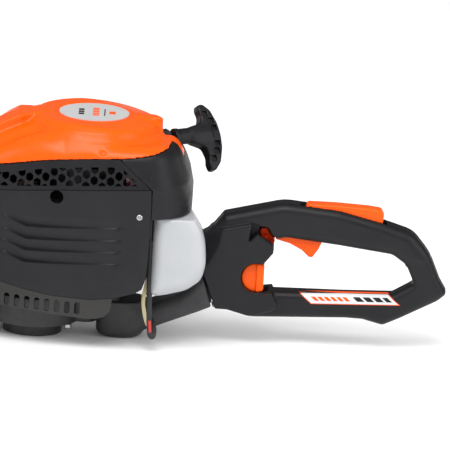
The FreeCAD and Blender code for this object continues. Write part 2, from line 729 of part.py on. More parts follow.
fins = []
for index in range(10):
    fin_x = -38 - index * 6.2
    fins.append(padded(
        f"fin_{index}", [(-30, 80, 8), (30, 80, 8), (30, 140, 8), (-30, 140, 8)], 2.0, "YZ", (fin_x, 0, 0)))
cylinder_solid = fuse(
    "cylinder_solid",
    cylinder("barrel", 21.5, 70, (-31, 0, 110), (-1, 0, 0)),
    cylinder("head", 14, 8, (-98, 0, 110), (-1, 0, 0)),
    block("exhaust_port", (-72, -34, 100), (-52, 0, 120)),
    block("inlet_port", (-74, 0, 101), (-54, 34, 119)),
    *fins)
node("cylinder", cut(
    "cylinder", cylinder_solid,
    cylinder("cylinder_bore", "bore_radius", 66, (-30, 0, 110), (-1, 0, 0)),
    cylinder("plug_hole", 5, 20, (-90, 0, 110), (-1, 0, 0)),
    cylinder("exhaust_bore", 7, 40, (-62, 0, 110), (0, -1, 0)),
    cylinder("inlet_bore", 6, 40, (-64, 0, 110), (0, 1, 0))))
node("spark_plug", fuse(
    "spark_plug",
    cylinder("plug_thread", 5, 15.9, (-90.1, 0, 110), (-1, 0, 0)),
    cylinder("plug_hexagon", 9.5, 9, (-106, 0, 110), (-1, 0, 0)),
    cylinder("plug_insulator", 5.2, 20, (-115, 0, 110), (-1, 0, 0))))
node("plug_boot", cut(
    "plug_boot",
    fuse("boot_solid", cylinder("boot_sleeve", 8, 22, (-118, 0, 110), (-1, 0, 0)),
         cylinder("boot_elbow", 5, 24, (-133, 0, 110), (0, 0, 1))),
    cylinder("boot_bore", 5.25, 18, (-117, 0, 110), (-1, 0, 0))))
node("piston", cylinder("piston", "bore_radius - running_gap", 24, (-57, 0, 110), (-1, 0, 0)))
node("connecting_rod", fuse(
    "connecting_rod",
    cylinder("rod_eye", 7, 5, (-offset, 0, 107.5)),
    block("rod_shank", (-57, -4, 107.5), (-offset - 4, 4, 112.5))))
node("flywheel", fuse(
    "flywheel",
    cut("flywheel_wheel",
        turned("flywheel_disc", [
            (0, 160), (18, 160), (20, 166), (52, 166), (52, 196), (56, 196), (56, 160),
            (58, 160), (58, 199), (46, 199), (46, 170), (16, 170), (14, 188), (0, 188)]),
        cylinder("flywheel_bore", "shaft_radius", 60, (0, 0, 150))),
    *[padded(f"vane_{index}", [(20, -1.2), (47, -1.2), (47, 1.2), (20, 1.2)], 14.0, "XY", (0, 0, 177))
      for index in range(12)]))
for index in range(12):
    doc.getObject(f"vane_{index}").Placement.Rotation = Rotation(Vector(0, 0, 1), index * 30)

node("ignition_coil", fuse(
    "ignition_coil",
    block("coil_winding", (40, -80, 184), (66, -64, 206)),
    block("coil_core", (46, -66, 186), (60, -60.5, 202))))
node("muffler", cut(
    "muffler",
    padded(
        "muffler_box", [(-94, 80, 8), (-34, 80, 8), (-34, 142, 8), (-94, 142, 8)], 36.0, "XZ",
        (0, -52.2, 0)),
    cylinder("muffler_inlet", 7, 12, (-62, -34, 110), (0, -1, 0)),
    cylinder("muffler_outlet", 5, 12, (-80, -71, 92), (0, 1, 0))))
node("carburettor", cut(
    "carburettor",
    fuse("carburettor_solid", block("carburettor_body", (-80, 34.2, 94), (-48, 62, 126)),
         cylinder("fuel_bowl", 11, 8, (-64, 48, 86))),
    cylinder("venturi", 6, 40, (-64, 30, 110), (0, 1, 0))))
node("air_filter", padded(
    "air_filter", [(-84, 80, 8), (-28, 80, 8), (-28, 150, 8), (-84, 150, 8)], 9.0, "XZ", (0, 66.7, 0)))
node("choke_lever", fuse(
    "choke_lever",
    cylinder("choke_pivot", 3, 28, (-20, 66, 126), (0, 1, 0)),
    block("choke_arm", (-22.5, 93, 124), (-17.5, 97, 146))))
node("primer_bulb", turned(
    "primer_bulb", [(0, 0), (11, 0), (11, 2), (9, 4), (8.4, 6.5), (6.5, 8.6), (3.5, 9.8), (0, 10.2)],
    (20, 92.7, 84), (0, 1, 0)))

# ---------------------------------------------------------------- recoil starter

node("recoil_pulley", turned(
    "recoil_pulley",
    [(6.05, 217.5), (37, 217.5), (37, 219), (33, 222), (33, 226), (37, 229), (37, 230.5), (6.05, 230.5)]))
spring_turns = [Part.makeCylinder(radius + 0.8, 8, Vector(0, 0, 235)).cut(
    Part.makeCylinder(radius, 8, Vector(0, 0, 235))) for radius in (14, 19, 24, 29)]
spring_link = Part.makeBox(24, 2, 8, Vector(10.5, -1, 235))
node("recoil_spring", feature("recoil_spring", spring_link.multiFuse(spring_turns)))

STEM_START = 85.0
BAR_CENTRE = 129.0
BAR_HALF = 38.0
BAR_DROP = 4.0
tilt = math.radians(32)
way = rope_direction()
bar_way = Vector(0, 0, -math.cos(tilt)) + Vector(way.y, -way.x, 0) * math.sin(tilt)
bar_across = way.cross(bar_way)
grip_sections = []
for share in (-1.0, -0.93, -0.7, -0.35, 0.0, 0.35, 0.7, 0.93, 1.0):
    depth = 12.0 - 6.0 * share ** 2
    width = 8.5 - 2.5 * share ** 4
    if abs(share) == 1.0:
        depth = 3.0
        width = 3.5
    centre = rope_point(BAR_CENTRE - 8.0 * share ** 2) + bar_way * (BAR_DROP + BAR_HALF * share)
    grip_sections.append(ring(tuple(centre), tuple(way), tuple(bar_across), depth, width, 2.6))
grip_bar = Part.makeLoft(grip_sections, True, False)
stem = Part.makeCone(7.0, 9.0, BAR_CENTRE - STEM_START, rope_point(STEM_START), way)
rope_channel = Part.makeCylinder(2.4, 40, rope_point(STEM_START - 1), way)
node("pull_handle", feature("pull_handle", grip_bar.fuse(stem).cut(rope_channel)))
node("starter_rope", cylinder(
    "starter_rope", "rope_radius", 112, tuple(rope_point(6)), tuple(way)))

# ---------------------------------------------------------------- rear bracket and swivel

arm_sections = [
    ring((46, 0, 21), (0, 1, 0), (0, 0, 1), 22, 17, 4),
    ring((74, 0, 23.5), (0, 1, 0), (0, 0, 1), 26, 15, 4),
    ring((104, 0, 34), (0, 1, 0), tuple(SWIVEL_UP), 25, 17, 3),
    ring(tuple(swivel_point(-10)), (0, 1, 0), tuple(SWIVEL_UP), 24, 22, 2.3),
    ring(tuple(swivel_point(-2.2)), (0, 1, 0), tuple(SWIVEL_UP), 24, 24, 2),
]
arm = Part.makeLoft(arm_sections, True, False)
post = Part.makeCylinder(25, 42, Vector(42, 0, 0))
spigot = Part.makeCylinder(dim("spigot_radius"), 20, swivel_point(-4), SWIVEL_AXIS)
spigot_flange = Part.makeCylinder(15, 4, swivel_point(14.2), SWIVEL_AXIS)
cable_way = Part.makeCylinder(5, 60, swivel_point(-20), SWIVEL_AXIS)
bracket = post.fuse([arm, spigot, spigot_flange]).cut(cable_way)
bracket = bracket.cut(Part.makeCylinder(16.2, 60, Vector(0, 0, -5)))
node("rear_bracket", feature("rear_bracket", bracket))
PIN_REACH = 18.5
index_plate = Part.makeCylinder(24, 2, swivel_point(-2.2), SWIVEL_AXIS).cut(
    Part.makeCylinder(dim("spigot_radius"), 6, swivel_point(-4), SWIVEL_AXIS))
stop_slot = Part.makeCylinder(PIN_REACH + 3.1, 3, swivel_point(-2.7), SWIVEL_AXIS).cut(
    Part.makeCylinder(PIN_REACH - 3.1, 3, swivel_point(-2.7), SWIVEL_AXIS))
upper_half = Part.makeBox(8, 60, 40)
upper_half.Placement = swivel_frame(-2) * Placement(Vector(-4, -30, 0), Rotation())
stop_slot = stop_slot.cut(upper_half)
for side in (PIN_REACH, -PIN_REACH):
    stop_slot = stop_slot.fuse(Part.makeCylinder(3.1, 3, swivel_point(-2.7, 0, side), SWIVEL_AXIS))
index_plate = index_plate.cut(stop_slot)
node("swivel_index_plate", feature("swivel_index_plate", index_plate))
node("av_mounts", fuse(
    "av_mounts",
    cylinder("left_buffer", 8, 4, (32, -13, 42)),
    cylinder("right_buffer", 8, 4, (32, 13, 42))))

# ---------------------------------------------------------------- front handle and hand guard

LOOP_TOP = 206.0
half_loop = [(-184, 24, 32.5), (-184, 84, 32.5), (-188, 108, 78), (-196, 108, 168), (-200, 84, LOOP_TOP)]
loop_route = [(x, -y, z) for x, y, z in half_loop] + half_loop[::-1]
node("front_handle", feature("front_handle", tube(loop_route, dim("loop_radius"), 40)))
node("front_grip", cut(
    "front_grip",
    cylinder("grip_sleeve", "grip_radius", 100, (-200, -50, LOOP_TOP), (0, 1, 0)),
    cylinder("grip_bore", "loop_radius", 110, (-200, -55, LOOP_TOP), (0, 1, 0))))
guard_plate = padded(
    "shield_plate",
    [(-95, 60, 20), (-30, 46, 10), (30, 46, 10), (95, 60, 20), (90, 178, 40), (-90, 178, 40)],
    4.0, "YZ", (-228, 0, 0))
node("hand_guard", fuse("hand_guard", guard_plate, block("shield_foot", (-230, -22, 46), (-170, 22, 50))))

# ---------------------------------------------------------------- rear handle

HANDLE_OUTER = [
    (129.5, 80, 2), (144.5, 35, 2), (167, 34, 20), (184, 30, 20), (288, 35.4, 30), (307, 34.9, 10),
    (330, 29.4, 8), (349, 38.6), (389, 60.4, 20), (399, 69.5, 5), (390, 84, 8), (377.4, 113.2, 60),
    (358, 136, 25), (322.6, 145.7, 40), (275.7, 156.5, 60), (236.9, 161.5, 40), (198.3, 162.5, 50),
    (150, 148, 20), (127.5, 123, 12),
]
HANDLE_OPENING = [
    (195, 91), (207, 106.7, 3), (206, 119.5, 3), (219, 122.8, 6), (278, 117.3, 30), (334, 109.9, 14),
    (345, 100, 8), (355.5, 80, 3), (336, 66.8, 4), (281, 64.6, 30), (206.2, 63.4, 4), (197.2, 66, 3),
    (189, 80, 4),
]
BODY_OUTLINE = [
    (131, 79), (146, 36), (167, 35.5, 20), (184, 33, 20), (206, 44, 10), (197, 66, 6), (189, 80, 8),
    (195, 91, 8), (207, 106.7, 5), (203, 121, 6), (192, 150, 20), (172, 152, 20), (150, 145, 20),
    (129.5, 122, 10),
]
GRIP_OUTLINE = [
    (200, 126), (219, 122.8, 10), (278, 117.3, 30), (334, 109.9, 14), (347, 98), (372, 106), (356, 134, 25),
    (322.6, 144, 40), (275.7, 154.5, 60), (236.9, 159.5, 40), (200, 158),
]


def flat_face(points):
    return Part.Face(Part.Wire(Part.__sortEdges__([piece.toShape() for piece in outline(points)])))


def upright(face, low, high):
    """Stand a face drawn in X and Y up into X and Z and give it a thickness along Y."""
    solid = face.extrude(Vector(0, 0, high - low))
    solid.rotate(Vector(0, 0, 0), Vector(1, 0, 0), 90)
    solid.translate(Vector(0, high, 0))
    return solid


handle_wall = dim("handle_wall")
full_face = flat_face(HANDLE_OUTER).cut(flat_face(HANDLE_OPENING))
body_face = flat_face(BODY_OUTLINE)
grip_face = flat_face(GRIP_OUTLINE)


def bevelled(points, half_depth, bevel):
    """Slab about the middle plane whose rim is bevelled on both sides."""
    face = flat_face(points)
    slab = upright(face, -half_depth, half_depth)
    rim = [edge for edge in slab.Edges if abs(abs(edge.CenterOfMass.y) - half_depth) < 0.01]
    return slab.makeChamfer(bevel, rim)


handle_solid = upright(full_face, -dim("handle_bar_half"), dim("handle_bar_half"))
handle_solid = handle_solid.fuse([
    bevelled(BODY_OUTLINE, dim("handle_body_half"), 2.0),
    bevelled(GRIP_OUTLINE, dim("handle_grip_half"), 3.0)])
hollow_face = flat_face(HANDLE_OUTER).makeOffset2D(-handle_wall).cut(
    flat_face(HANDLE_OPENING).makeOffset2D(handle_wall))
hollow_half = dim("handle_bar_half") - handle_wall
handle_hollow = upright(hollow_face, -hollow_half, hollow_half)
body_hollow = upright(body_face.makeOffset2D(-handle_wall - 1), -18.5, 18.5)
swivel_socket = Part.makeCylinder(15.5, 6.6, swivel_point(13.9), SWIVEL_AXIS)
socket_wall = Part.makeCylinder(22, 30, swivel_point(0.3), SWIVEL_AXIS)
post_places = [(160, 136, 19), (236, 141, 12), (348, 122, 12), (374, 80, 12), (318, 48, 12), (222, 48, 12)]
posts = []
post_holes = []
for x, z, reach in post_places:
    posts.append(Part.makeCylinder(5, 2 * reach, Vector(x, -reach, z), Vector(0, 1, 0)))
    post_holes.append(Part.makeCylinder(2, 80, Vector(x, -40, z), Vector(0, 1, 0)))
trigger_slot = side_prism([(203, 134), (202, 112), (262, 100), (264, 134)], -6.6, 6.6)
lockout_slot = side_prism([(232, 150), (232, 170), (328, 170), (328, 138)], -9.6, 9.6)
switch_slot = side_prism([(180, 134), (180, 112), (206, 109), (208, 134)], -8.2, 8.2)
lever_slot = side_prism([(166, 50), (166, 97), (208, 97), (208, 50)], -10.5, 10.5)
socket_bore = Part.makeCylinder(
    dim("spigot_radius") + dim("running_gap"), 20, swivel_point(-4), SWIVEL_AXIS)
pin_way = Part.makeCylinder(3.06, 60, swivel_point(-2, -PIN_REACH), SWIVEL_AXIS)
lever_room = side_prism([(160, 44), (160, 97), (200, 97), (200, 44)], -10.5, 10.5)
front_trim = Part.makeBox(60, 100, 200, Vector(-60, -50, -100))
front_trim.Placement = swivel_frame(0.3) * front_trim.Placement
label_seat = side_prism([(236, 61.8), (336, 65.7), (349, 52.8), (250, 46.8)], -20, -13.9)

handle_core = handle_solid.cut(handle_hollow.fuse(body_hollow))
handle_core = handle_core.fuse([socket_wall.common(handle_solid), *posts])
handle_core = handle_core.cut(swivel_socket)
CONTROL_PIVOTS = {"trigger": (212, 125.5, 2.5), "lockout": (243, 157.5, 1.95), "switch": (197, 122, 1.55)}
pivot_holes = []
for x, z, radius in CONTROL_PIVOTS.values():
    pivot_holes.append(Part.makeCylinder(radius, 27, Vector(x, -13.5, z), Vector(0, 1, 0)))
for opening in (socket_bore, pin_way, trigger_slot, lockout_slot, switch_slot, lever_slot, lever_room,
                front_trim, label_seat, *post_holes, *pivot_holes):
    handle_core = handle_core.cut(opening)
left_space = Part.makeBox(320, 60, 220, Vector(110, -60, 0))
right_space = Part.makeBox(320, 60, 220, Vector(110, 0, 0))
node("handle_left_half", feature("handle_left_half", handle_core.common(left_space)))
node("handle_right_half", feature("handle_right_half", handle_core.common(right_space)))
node("handle_label", feature(
    "handle_label", side_prism([(237, 61.5), (335, 65.2), (347.5, 53), (250.8, 47.2)], -14.6, -13.9)))
screws = []
for index, (x, z, _) in enumerate(post_places):
    screws.append(cylinder(f"handle_screw_{index}", 1.95, 24, (x, -12.5, z), (0, 1, 0)))
for pin_name, (x, z, radius) in CONTROL_PIVOTS.items():
    screws.append(cylinder(f"{pin_name}_pin", radius, 27, (x, -13.5, z), (0, 1, 0)))
node("handle_fasteners", fuse("handle_fasteners", *screws))

node("throttle_trigger", padded(
    "throttle_trigger",
    [(206, 125, 3), (212, 131, 4), (230, 126, 6), (258, 123, 2), (257, 118.5, 2), (248, 101, 3),
     (241, 101.5, 5), (228, 110, 8), (207, 116, 3)], 12.0, "XZ", (0, 0, 0), [(212, 125.5, 2.55)]))
node("throttle_lockout", padded(
    "throttle_lockout",
    [(237, 158, 3), (240, 164, 3), (270, 164, 60), (305, 162.3, 60), (318, 160, 5), (323, 155, 3),
     (323.5, 143, 3), (316, 143, 2), (300, 146, 8), (245, 152, 4)],
    18.0, "XZ", (0, 0, 0), [(243, 157.5, 2.0)]))
node("stop_switch", padded(
    "stop_switch",
    [(188, 126, 2), (192, 130, 2), (198, 130.5, 2), (206, 117, 2), (203, 113.5, 2), (192, 120, 4)],
    15.0, "XZ", (0, 0, 0), [(197, 122, 1.6)]))

lever_centre = Vector(194.6, 0, 73.4)
crescent = Part.makeCylinder(21, 18, lever_centre + Vector(0, -9, 0), Vector(0, 1, 0))
crescent = crescent.cut(Part.makeCylinder(14, 18, lever_centre + Vector(7, -9, 0), Vector(0, 1, 0)))
crescent = crescent.common(Part.makeBox(30, 18, 60, Vector(166, -9, 44)))
lever_pin = Part.makeCylinder(3, 44, swivel_point(-0.6, -PIN_REACH), SWIVEL_AXIS)
lever_link = Part.makeBox(10, 8, 12, Vector(177, -4, 50))
node("swivel_lock_lever", feature("swivel_lock_lever", crescent.fuse([lever_pin, lever_link])))

# ---------------------------------------------------------------- lines at the back of the engine

conduit = tube(
    [(64, -62, 134), (69, -66, 112), (69, -66, 80), (71.5, -66, 48), (77, -58, 24), (81, -40, 20),
     (84, -24, 24)], 3.2, 18).cut(bracket)
node("control_conduit", feature("control_conduit", conduit))
hose = tube(
    [(74.5, -52, 92), (64, -53, 84), (61, -54, 60), (65, -54, 38), (56, -50, 26), (44, -46, 40)],
    2.6, 14).cut(tank_outer)
node("fuel_hose", feature("fuel_hose", hose))
wire = tube([(72.6, -70.5, 50), (75, -68, 30), (77, -60, 16), (84, -50, 12), (88, -36, 16)], 1.0, 10)
node("stop_wire", feature("stop_wire", wire.cut(conduit.fuse(bracket))))

# ---------------------------------------------------------------- place, check and write

shift = Placement(Vector(dim("origin_shift"), 0, 0), Rotation())
doc.recompute()
for piece in nodes.values():
    piece.Placement = shift * piece.Placement
doc.recompute()
for obj in doc.Objects:
    for word in obj.State:
        assert word not in ("Invalid", "Error"), f"{obj.Label}: {obj.State}"
os.makedirs("parts", exist_ok=True)
for label, piece in nodes.items():
    shape = piece.Shape
    assert not shape.isNull() and shape.isValid(), label
    shape.exportStep(f"parts/{label}.step")
    box = shape.BoundBox
    print(f"{label:22s} solids {len(shape.Solids)} volume {shape.Volume / 1000:9.2f} cm3 "
          f"X {box.XMin:7.1f} {box.XMax:7.1f} Y {box.YMin:7.1f} {box.YMax:7.1f} "
          f"Z {box.ZMin:6.1f} {box.ZMax:6.1f}")
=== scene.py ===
import json
import math

import bpy
import numpy as np
from mathutils import Matrix, Vector
from mathutils.geometry import delaunay_2d_cdt


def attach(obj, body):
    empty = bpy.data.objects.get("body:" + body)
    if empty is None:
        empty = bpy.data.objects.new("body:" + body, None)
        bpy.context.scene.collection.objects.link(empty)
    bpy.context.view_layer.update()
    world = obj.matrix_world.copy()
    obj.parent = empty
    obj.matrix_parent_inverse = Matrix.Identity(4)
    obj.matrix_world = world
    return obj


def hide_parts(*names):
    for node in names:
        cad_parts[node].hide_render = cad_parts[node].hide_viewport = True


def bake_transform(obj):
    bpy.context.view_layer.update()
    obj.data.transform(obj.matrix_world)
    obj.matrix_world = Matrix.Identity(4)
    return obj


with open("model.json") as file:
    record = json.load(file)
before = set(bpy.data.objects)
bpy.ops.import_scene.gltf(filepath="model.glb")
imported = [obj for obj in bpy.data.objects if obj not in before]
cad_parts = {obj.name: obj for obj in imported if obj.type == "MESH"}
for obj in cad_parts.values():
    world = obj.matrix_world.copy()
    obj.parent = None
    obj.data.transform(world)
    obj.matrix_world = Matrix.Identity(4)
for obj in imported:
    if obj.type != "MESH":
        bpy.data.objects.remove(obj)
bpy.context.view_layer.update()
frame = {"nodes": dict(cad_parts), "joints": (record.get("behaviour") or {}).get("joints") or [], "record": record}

# Lengths are in millimetres about the crank axis (x to the rear handle, y to the operator's right, z up)
# until place() turns them into the frame's metres.

JOINTS = {joint["name"]: joint for joint in frame["joints"]}
CRANK_X = JOINTS["crank_spin"]["pos_m"][0] * 1000


def place(points):
    """Millimetres about the crank axis to the frame's metres."""
    moved = np.array(points, float)
    moved[..., 0] += CRANK_X
    return moved / 1000


# ---------------------------------------------------------------- materials


class Shader:
    """One Principled material and short names for the nodes that feed it."""

    def __init__(self, name, **sockets):
        self.material = bpy.data.materials.new(name)
        self.material.use_nodes = True
        self.tree = self.material.node_tree
        self.surface = self.tree.nodes["Principled BSDF"]
        self.where = self.tree.nodes.new("ShaderNodeTexCoord").outputs["Object"]
        for socket, value in sockets.items():
            self.surface.inputs[socket.replace("_", " ")].default_value = value

    def node(self, kind, **inputs):
        made = self.tree.nodes.new(kind)
        for key, value in inputs.items():
            socket = made.inputs[key.replace("_", " ")]
            if isinstance(value, bpy.types.NodeSocket):
                self.tree.links.new(value, socket)
            else:
                socket.default_value = value
        return made

    def noise(self, scale, detail=3.0, roughness=0.5):
        made = self.node("ShaderNodeTexNoise", Vector=self.where, Scale=scale, Detail=detail,
                         Roughness=roughness)
        return made.outputs["Fac"]

    def span(self, fac, low, high, start=0.3, end=0.7):
        """A number that goes from low to high as fac goes from start to end."""
        made = self.node("ShaderNodeMapRange")
        self.tree.links.new(fac, made.inputs["Value"])
        for key, value in (("From Min", start), ("From Max", end), ("To Min", low), ("To Max", high)):
            made.inputs[key].default_value = value
        return made.outputs["Result"]

    def colours(self, fac, first, second, start=0.3, end=0.7):
        made = self.tree.nodes.new("ShaderNodeValToRGB")
        made.color_ramp.elements[0].position = start
        made.color_ramp.elements[0].color = (*first, 1)
        made.color_ramp.elements[1].position = end
        made.color_ramp.elements[1].color = (*second, 1)
        self.tree.links.new(fac, made.inputs["Fac"])
        return made.outputs["Color"]

    def feed(self, socket, output):
        self.tree.links.new(output, self.surface.inputs[socket])

    def bump(self, height, strength, distance):
        made = self.node("ShaderNodeBump", Strength=strength, Distance=distance, Height=height)
        self.feed("Normal", made.outputs["Normal"])


def moulded(name, dark, light, roughness, grain=0.35, coat=0.0, grain_scale=2600, sheen=0.5):
    """Moulded plastic: slow colour drift, finely sparked texture and uneven sheen."""
    shader = Shader(name, Coat_Weight=coat, Coat_Roughness=0.12, Specular_IOR_Level=sheen)
    drift = shader.noise(14, 4)
    shader.feed("Base Color", shader.colours(drift, dark, light))
    fine = shader.noise(grain_scale, 2)
    smears = shader.noise(45, 5, 0.6)
    shader.feed("Roughness", shader.span(smears, roughness - 0.06, roughness + 0.07))
    shader.bump(fine, grain, 0.00012)
    return shader.material


def painted_orange(name):
    """Glossy injection-moulded orange with faint flow lines and hairline handling marks."""
    shader = Shader(name, Specular_IOR_Level=0.2)
    drift = shader.noise(9, 4)
    shader.feed("Base Color", shader.colours(drift, (0.80, 0.078, 0.0005), (0.86, 0.090, 0.0008)))
    marks = shader.noise(160, 6, 0.7)
    shader.feed("Roughness", shader.span(marks, 0.22, 0.34))
    shader.bump(shader.noise(300, 2), 0.02, 0.0001)
    return shader.material


def metal(name, dark, light, roughness, brushed=(1, 1, 1), metallic=1.0, grain=0.15):
    """Machined, ground or cast metal: stretched grain, worn patches and a fine bump."""
    shader = Shader(name, Metallic=metallic)
    mapping = shader.node("ShaderNodeMapping", Vector=shader.where)
    mapping.inputs["Scale"].default_value = brushed
    grain_noise = shader.node("ShaderNodeTexNoise", Vector=mapping.outputs["Vector"], Scale=900, Detail=4)
    patches = shader.noise(60, 5, 0.65)
    shader.feed("Base Color", shader.colours(patches, dark, light))
    shader.feed("Roughness", shader.span(grain_noise.outputs["Fac"], roughness - 0.08, roughness + 0.1))
    shader.bump(grain_noise.outputs["Fac"], grain, 0.00015)
    return shader.material


def tank_plastic(name):
    """Translucent blow-moulded polyethylene with a faint mottle."""
    shader = Shader(name, Subsurface_Weight=0.35, Subsurface_Scale=0.012, Coat_Weight=0.15)
    shader.surface.inputs["Subsurface Radius"].default_value = (1.0, 0.95, 0.85)
    shader.feed("Base Color", shader.colours(shader.noise(28, 4), (0.385, 0.395, 0.41), (0.42, 0.43, 0.445)))
    shader.feed("Roughness", shader.span(shader.noise(120, 3), 0.36, 0.5))
    shader.bump(shader.noise(300, 3), 0.12, 0.0003)
    return shader.material


def rubbery(name, colour, roughness=0.62):
    return moulded(name, tuple(c * 0.85 for c in colour), tuple(c * 1.15 for c in colour), roughness, 0.5,
                   grain_scale=1500)


MATERIALS = {
    "orange_gloss": painted_orange("orange_gloss"),
    "black_plastic": moulded("black_plastic", (0.0075, 0.0075, 0.0092), (0.0098, 0.0098, 0.0115), 0.46,
                             sheen=0.28),
    "guard_grey": moulded("guard_grey", (0.0265, 0.0255, 0.0245), (0.0315, 0.0305, 0.0295), 0.5, sheen=0.3),
    "signal_orange": moulded("signal_orange", (0.78, 0.075, 0.004), (0.86, 0.085, 0.005), 0.4, 0.1,
                             sheen=0.25),
    "tank_white": tank_plastic("tank_white"),
    "badge_white": moulded("badge_white", (0.44, 0.44, 0.445), (0.48, 0.48, 0.485), 0.35, 0.05, 0.1),
    "label_white": moulded("label_white", (0.56, 0.57, 0.58), (0.62, 0.63, 0.64), 0.35, 0.05, 0.1),
    "rubber": rubbery("rubber", (0.018, 0.018, 0.019)),
    "chrome_screw": metal("chrome_screw", (0.36, 0.36, 0.37), (0.46, 0.46, 0.47), 0.24),
    "bright_steel": metal("bright_steel", (0.42, 0.42, 0.43), (0.56, 0.56, 0.57), 0.32),
    "blade_steel": metal("blade_steel", (0.46, 0.46, 0.47), (0.60, 0.60, 0.61), 0.28, (1, 18, 1)),
    "cast_aluminium": metal("cast_aluminium", (0.06, 0.06, 0.062), (0.09, 0.09, 0.092), 0.5, grain=0.5),
    "black_cast": metal("black_cast", (0.022, 0.022, 0.024), (0.032, 0.032, 0.035), 0.5, metallic=0.0,
                        grain=0.6),
    "heat_steel": metal("heat_steel", (0.12, 0.11, 0.10), (0.22, 0.20, 0.18), 0.5),
    "dark_red": moulded("dark_red", (0.16, 0.006, 0.006), (0.24, 0.010, 0.008), 0.3, 0.1, 0.4),
    "signal_red": moulded("signal_red", (0.42, 0.02, 0.012), (0.55, 0.025, 0.016), 0.38, 0.1),
    "hose_cream": rubbery("hose_cream", (0.55, 0.47, 0.27), 0.4),
    "filter_felt": rubbery("filter_felt", (0.52, 0.50, 0.42), 0.9),
    "plug_ceramic": moulded("plug_ceramic", (0.74, 0.74, 0.71), (0.8, 0.8, 0.78), 0.2, 0.05, 0.5),
}
SLOT_OF = {row["node"]: row["material_slot"] for row in frame["record"]["subparts"]}

for node_name, node_object in frame["nodes"].items():
    node_object.data.materials.clear()
    node_object.data.materials.append(MATERIALS[SLOT_OF[node_name]])

# ---------------------------------------------------------------- curves and distance fields


def closed_spline(points, per_span=10):
    """Smooth closed curve through the points: a periodic cubic spline over chord length."""
    knots = np.array(points, float)
    count = len(knots)
    ahead = np.roll(knots, -1, axis=0)
    chord = np.linalg.norm(ahead - knots, axis=1)
    system = np.zeros((count, count))
    slopes = (ahead - knots) / chord[:, None]
    for index in range(count):
        system[index, index - 1] = chord[index - 1]
        system[index, index] = 2 * (chord[index - 1] + chord[index])
        system[index, (index + 1) % count] = chord[index]
    bends = np.linalg.solve(system, 6 * (slopes - np.roll(slopes, 1, axis=0)))
    bends_ahead = np.roll(bends, -1, axis=0)
    t = np.linspace(0, 1, per_span, endpoint=False)[None, :, None]
    length = chord[:, None, None]
    start, end = knots[:, None, :], ahead[:, None, :]
    curve = (1 - t) * start + t * end + length ** 2 / 6 * (
        ((1 - t) ** 3 - (1 - t)) * bends[:, None, :] + (t ** 3 - t) * bends_ahead[:, None, :])
    return curve.reshape(-1, 2)


def rounded(points, turn=12.0):
    """Polyline of a closed outline whose points are (x, y) or (x, y, corner radius)."""
    result = []
    count = len(points)
    for index, point in enumerate(points):
        here = np.array(point[:2], float)
        if len(point) == 2:
            result.append(here)
            continue
        before = np.array(points[index - 1][:2]) - here
        after = np.array(points[(index + 1) % count][:2]) - here
        reach_before, reach_after = np.linalg.norm(before), np.linalg.norm(after)
        before /= reach_before
        after /= reach_after
        half = math.acos(max(-1, min(1, float(before @ after)))) / 2
        reach = min(point[2] / math.tan(half), 0.49 * reach_before, 0.49 * reach_after)
        radius = reach * math.tan(half)
        middle = (before + after) / np.linalg.norm(before + after)
        centre = here + middle * radius / math.sin(half)
        start = here + before * reach - centre
        sweep = math.pi - 2 * half
        steps = max(2, int(math.degrees(sweep) / turn) + 1)
        side = math.copysign(1.0, before[0] * after[1] - before[1] * after[0])
        for step in range(steps + 1):
            angle = -side * sweep * step / steps
            cosine, sine = math.cos(angle), math.sin(angle)
            result.append(centre + (start[0] * cosine - start[1] * sine, start[0] * sine + start[1] * cosine))
    return np.array(result)


def polygon_field(points):
    """Signed distance to a closed polyline, negative inside."""
    starts = np.array(points, float)
    ends = np.roll(starts, -1, axis=0)

    def distance(a, b):
        a, b = np.broadcast_arrays(a, b)
        nearest = np.full(a.shape, np.inf)
        inside = np.zeros(a.shape, bool)
        for (start_a, start_b), (end_a, end_b) in zip(starts, ends):
            run_a, run_b = end_a - start_a, end_b - start_b
            away_a, away_b = a - start_a, b - start_b
            share = np.clip((away_a * run_a + away_b * run_b) / (run_a ** 2 + run_b ** 2 + 1e-12), 0, 1)
            nearest = np.minimum(nearest, (away_a - run_a * share) ** 2 + (away_b - run_b * share) ** 2)
            crosses = (start_b > b) != (end_b > b)
            rise = run_b if abs(run_b) > 1e-9 else 1e-9
            inside ^= crosses & (a < start_a + away_b * run_a / rise)
        return np.where(inside, -1.0, 1.0) * np.sqrt(nearest)

    return distance


def join(first, second, blend=0.0):
    """Union of two fields with a fillet of about the given size."""
    if not blend:
        return np.minimum(first, second)
    mix = np.clip(0.5 + 0.5 * (second - first) / blend, 0, 1)
    return second + (first - second) * mix - blend * mix * (1 - mix)


def carve(solid, tool, blend=0.0):
    return -join(-solid, tool, blend)


def meet(first, second, radius):
    """Intersection of two fields whose common edge is rounded to a radius."""
    over_first = np.maximum(first + radius, 0)
    over_second = np.maximum(second + radius, 0)
    inside = np.minimum(np.maximum(first + radius, second + radius), 0)
    return inside + np.hypot(over_first, over_second) - radius


# ---------------------------------------------------------------- meshes


def new_object(name, points, faces, slot, body, stands_for=(), sharp=None):
    """Mesh object in the frame's metres, with its material slot, body and the nodes it stands for."""
    mesh = bpy.data.meshes.new(name)
    mesh.from_pydata(place(points).tolist(), [], faces)
    mesh.validate()
    mesh.shade_smooth()
    if sharp is not None:
        mesh.set_sharp_from_angle(angle=math.radians(sharp))
    made = bpy.data.objects.new(name, mesh)
    bpy.context.scene.collection.objects.link(made)
    mesh.materials.append(MATERIALS[slot])
    # The label's matt orange edge is a look of its own in the slot of the other orange pieces.
    if body:
        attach(made, body)
    if stands_for:
        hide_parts(*stands_for)
    return made


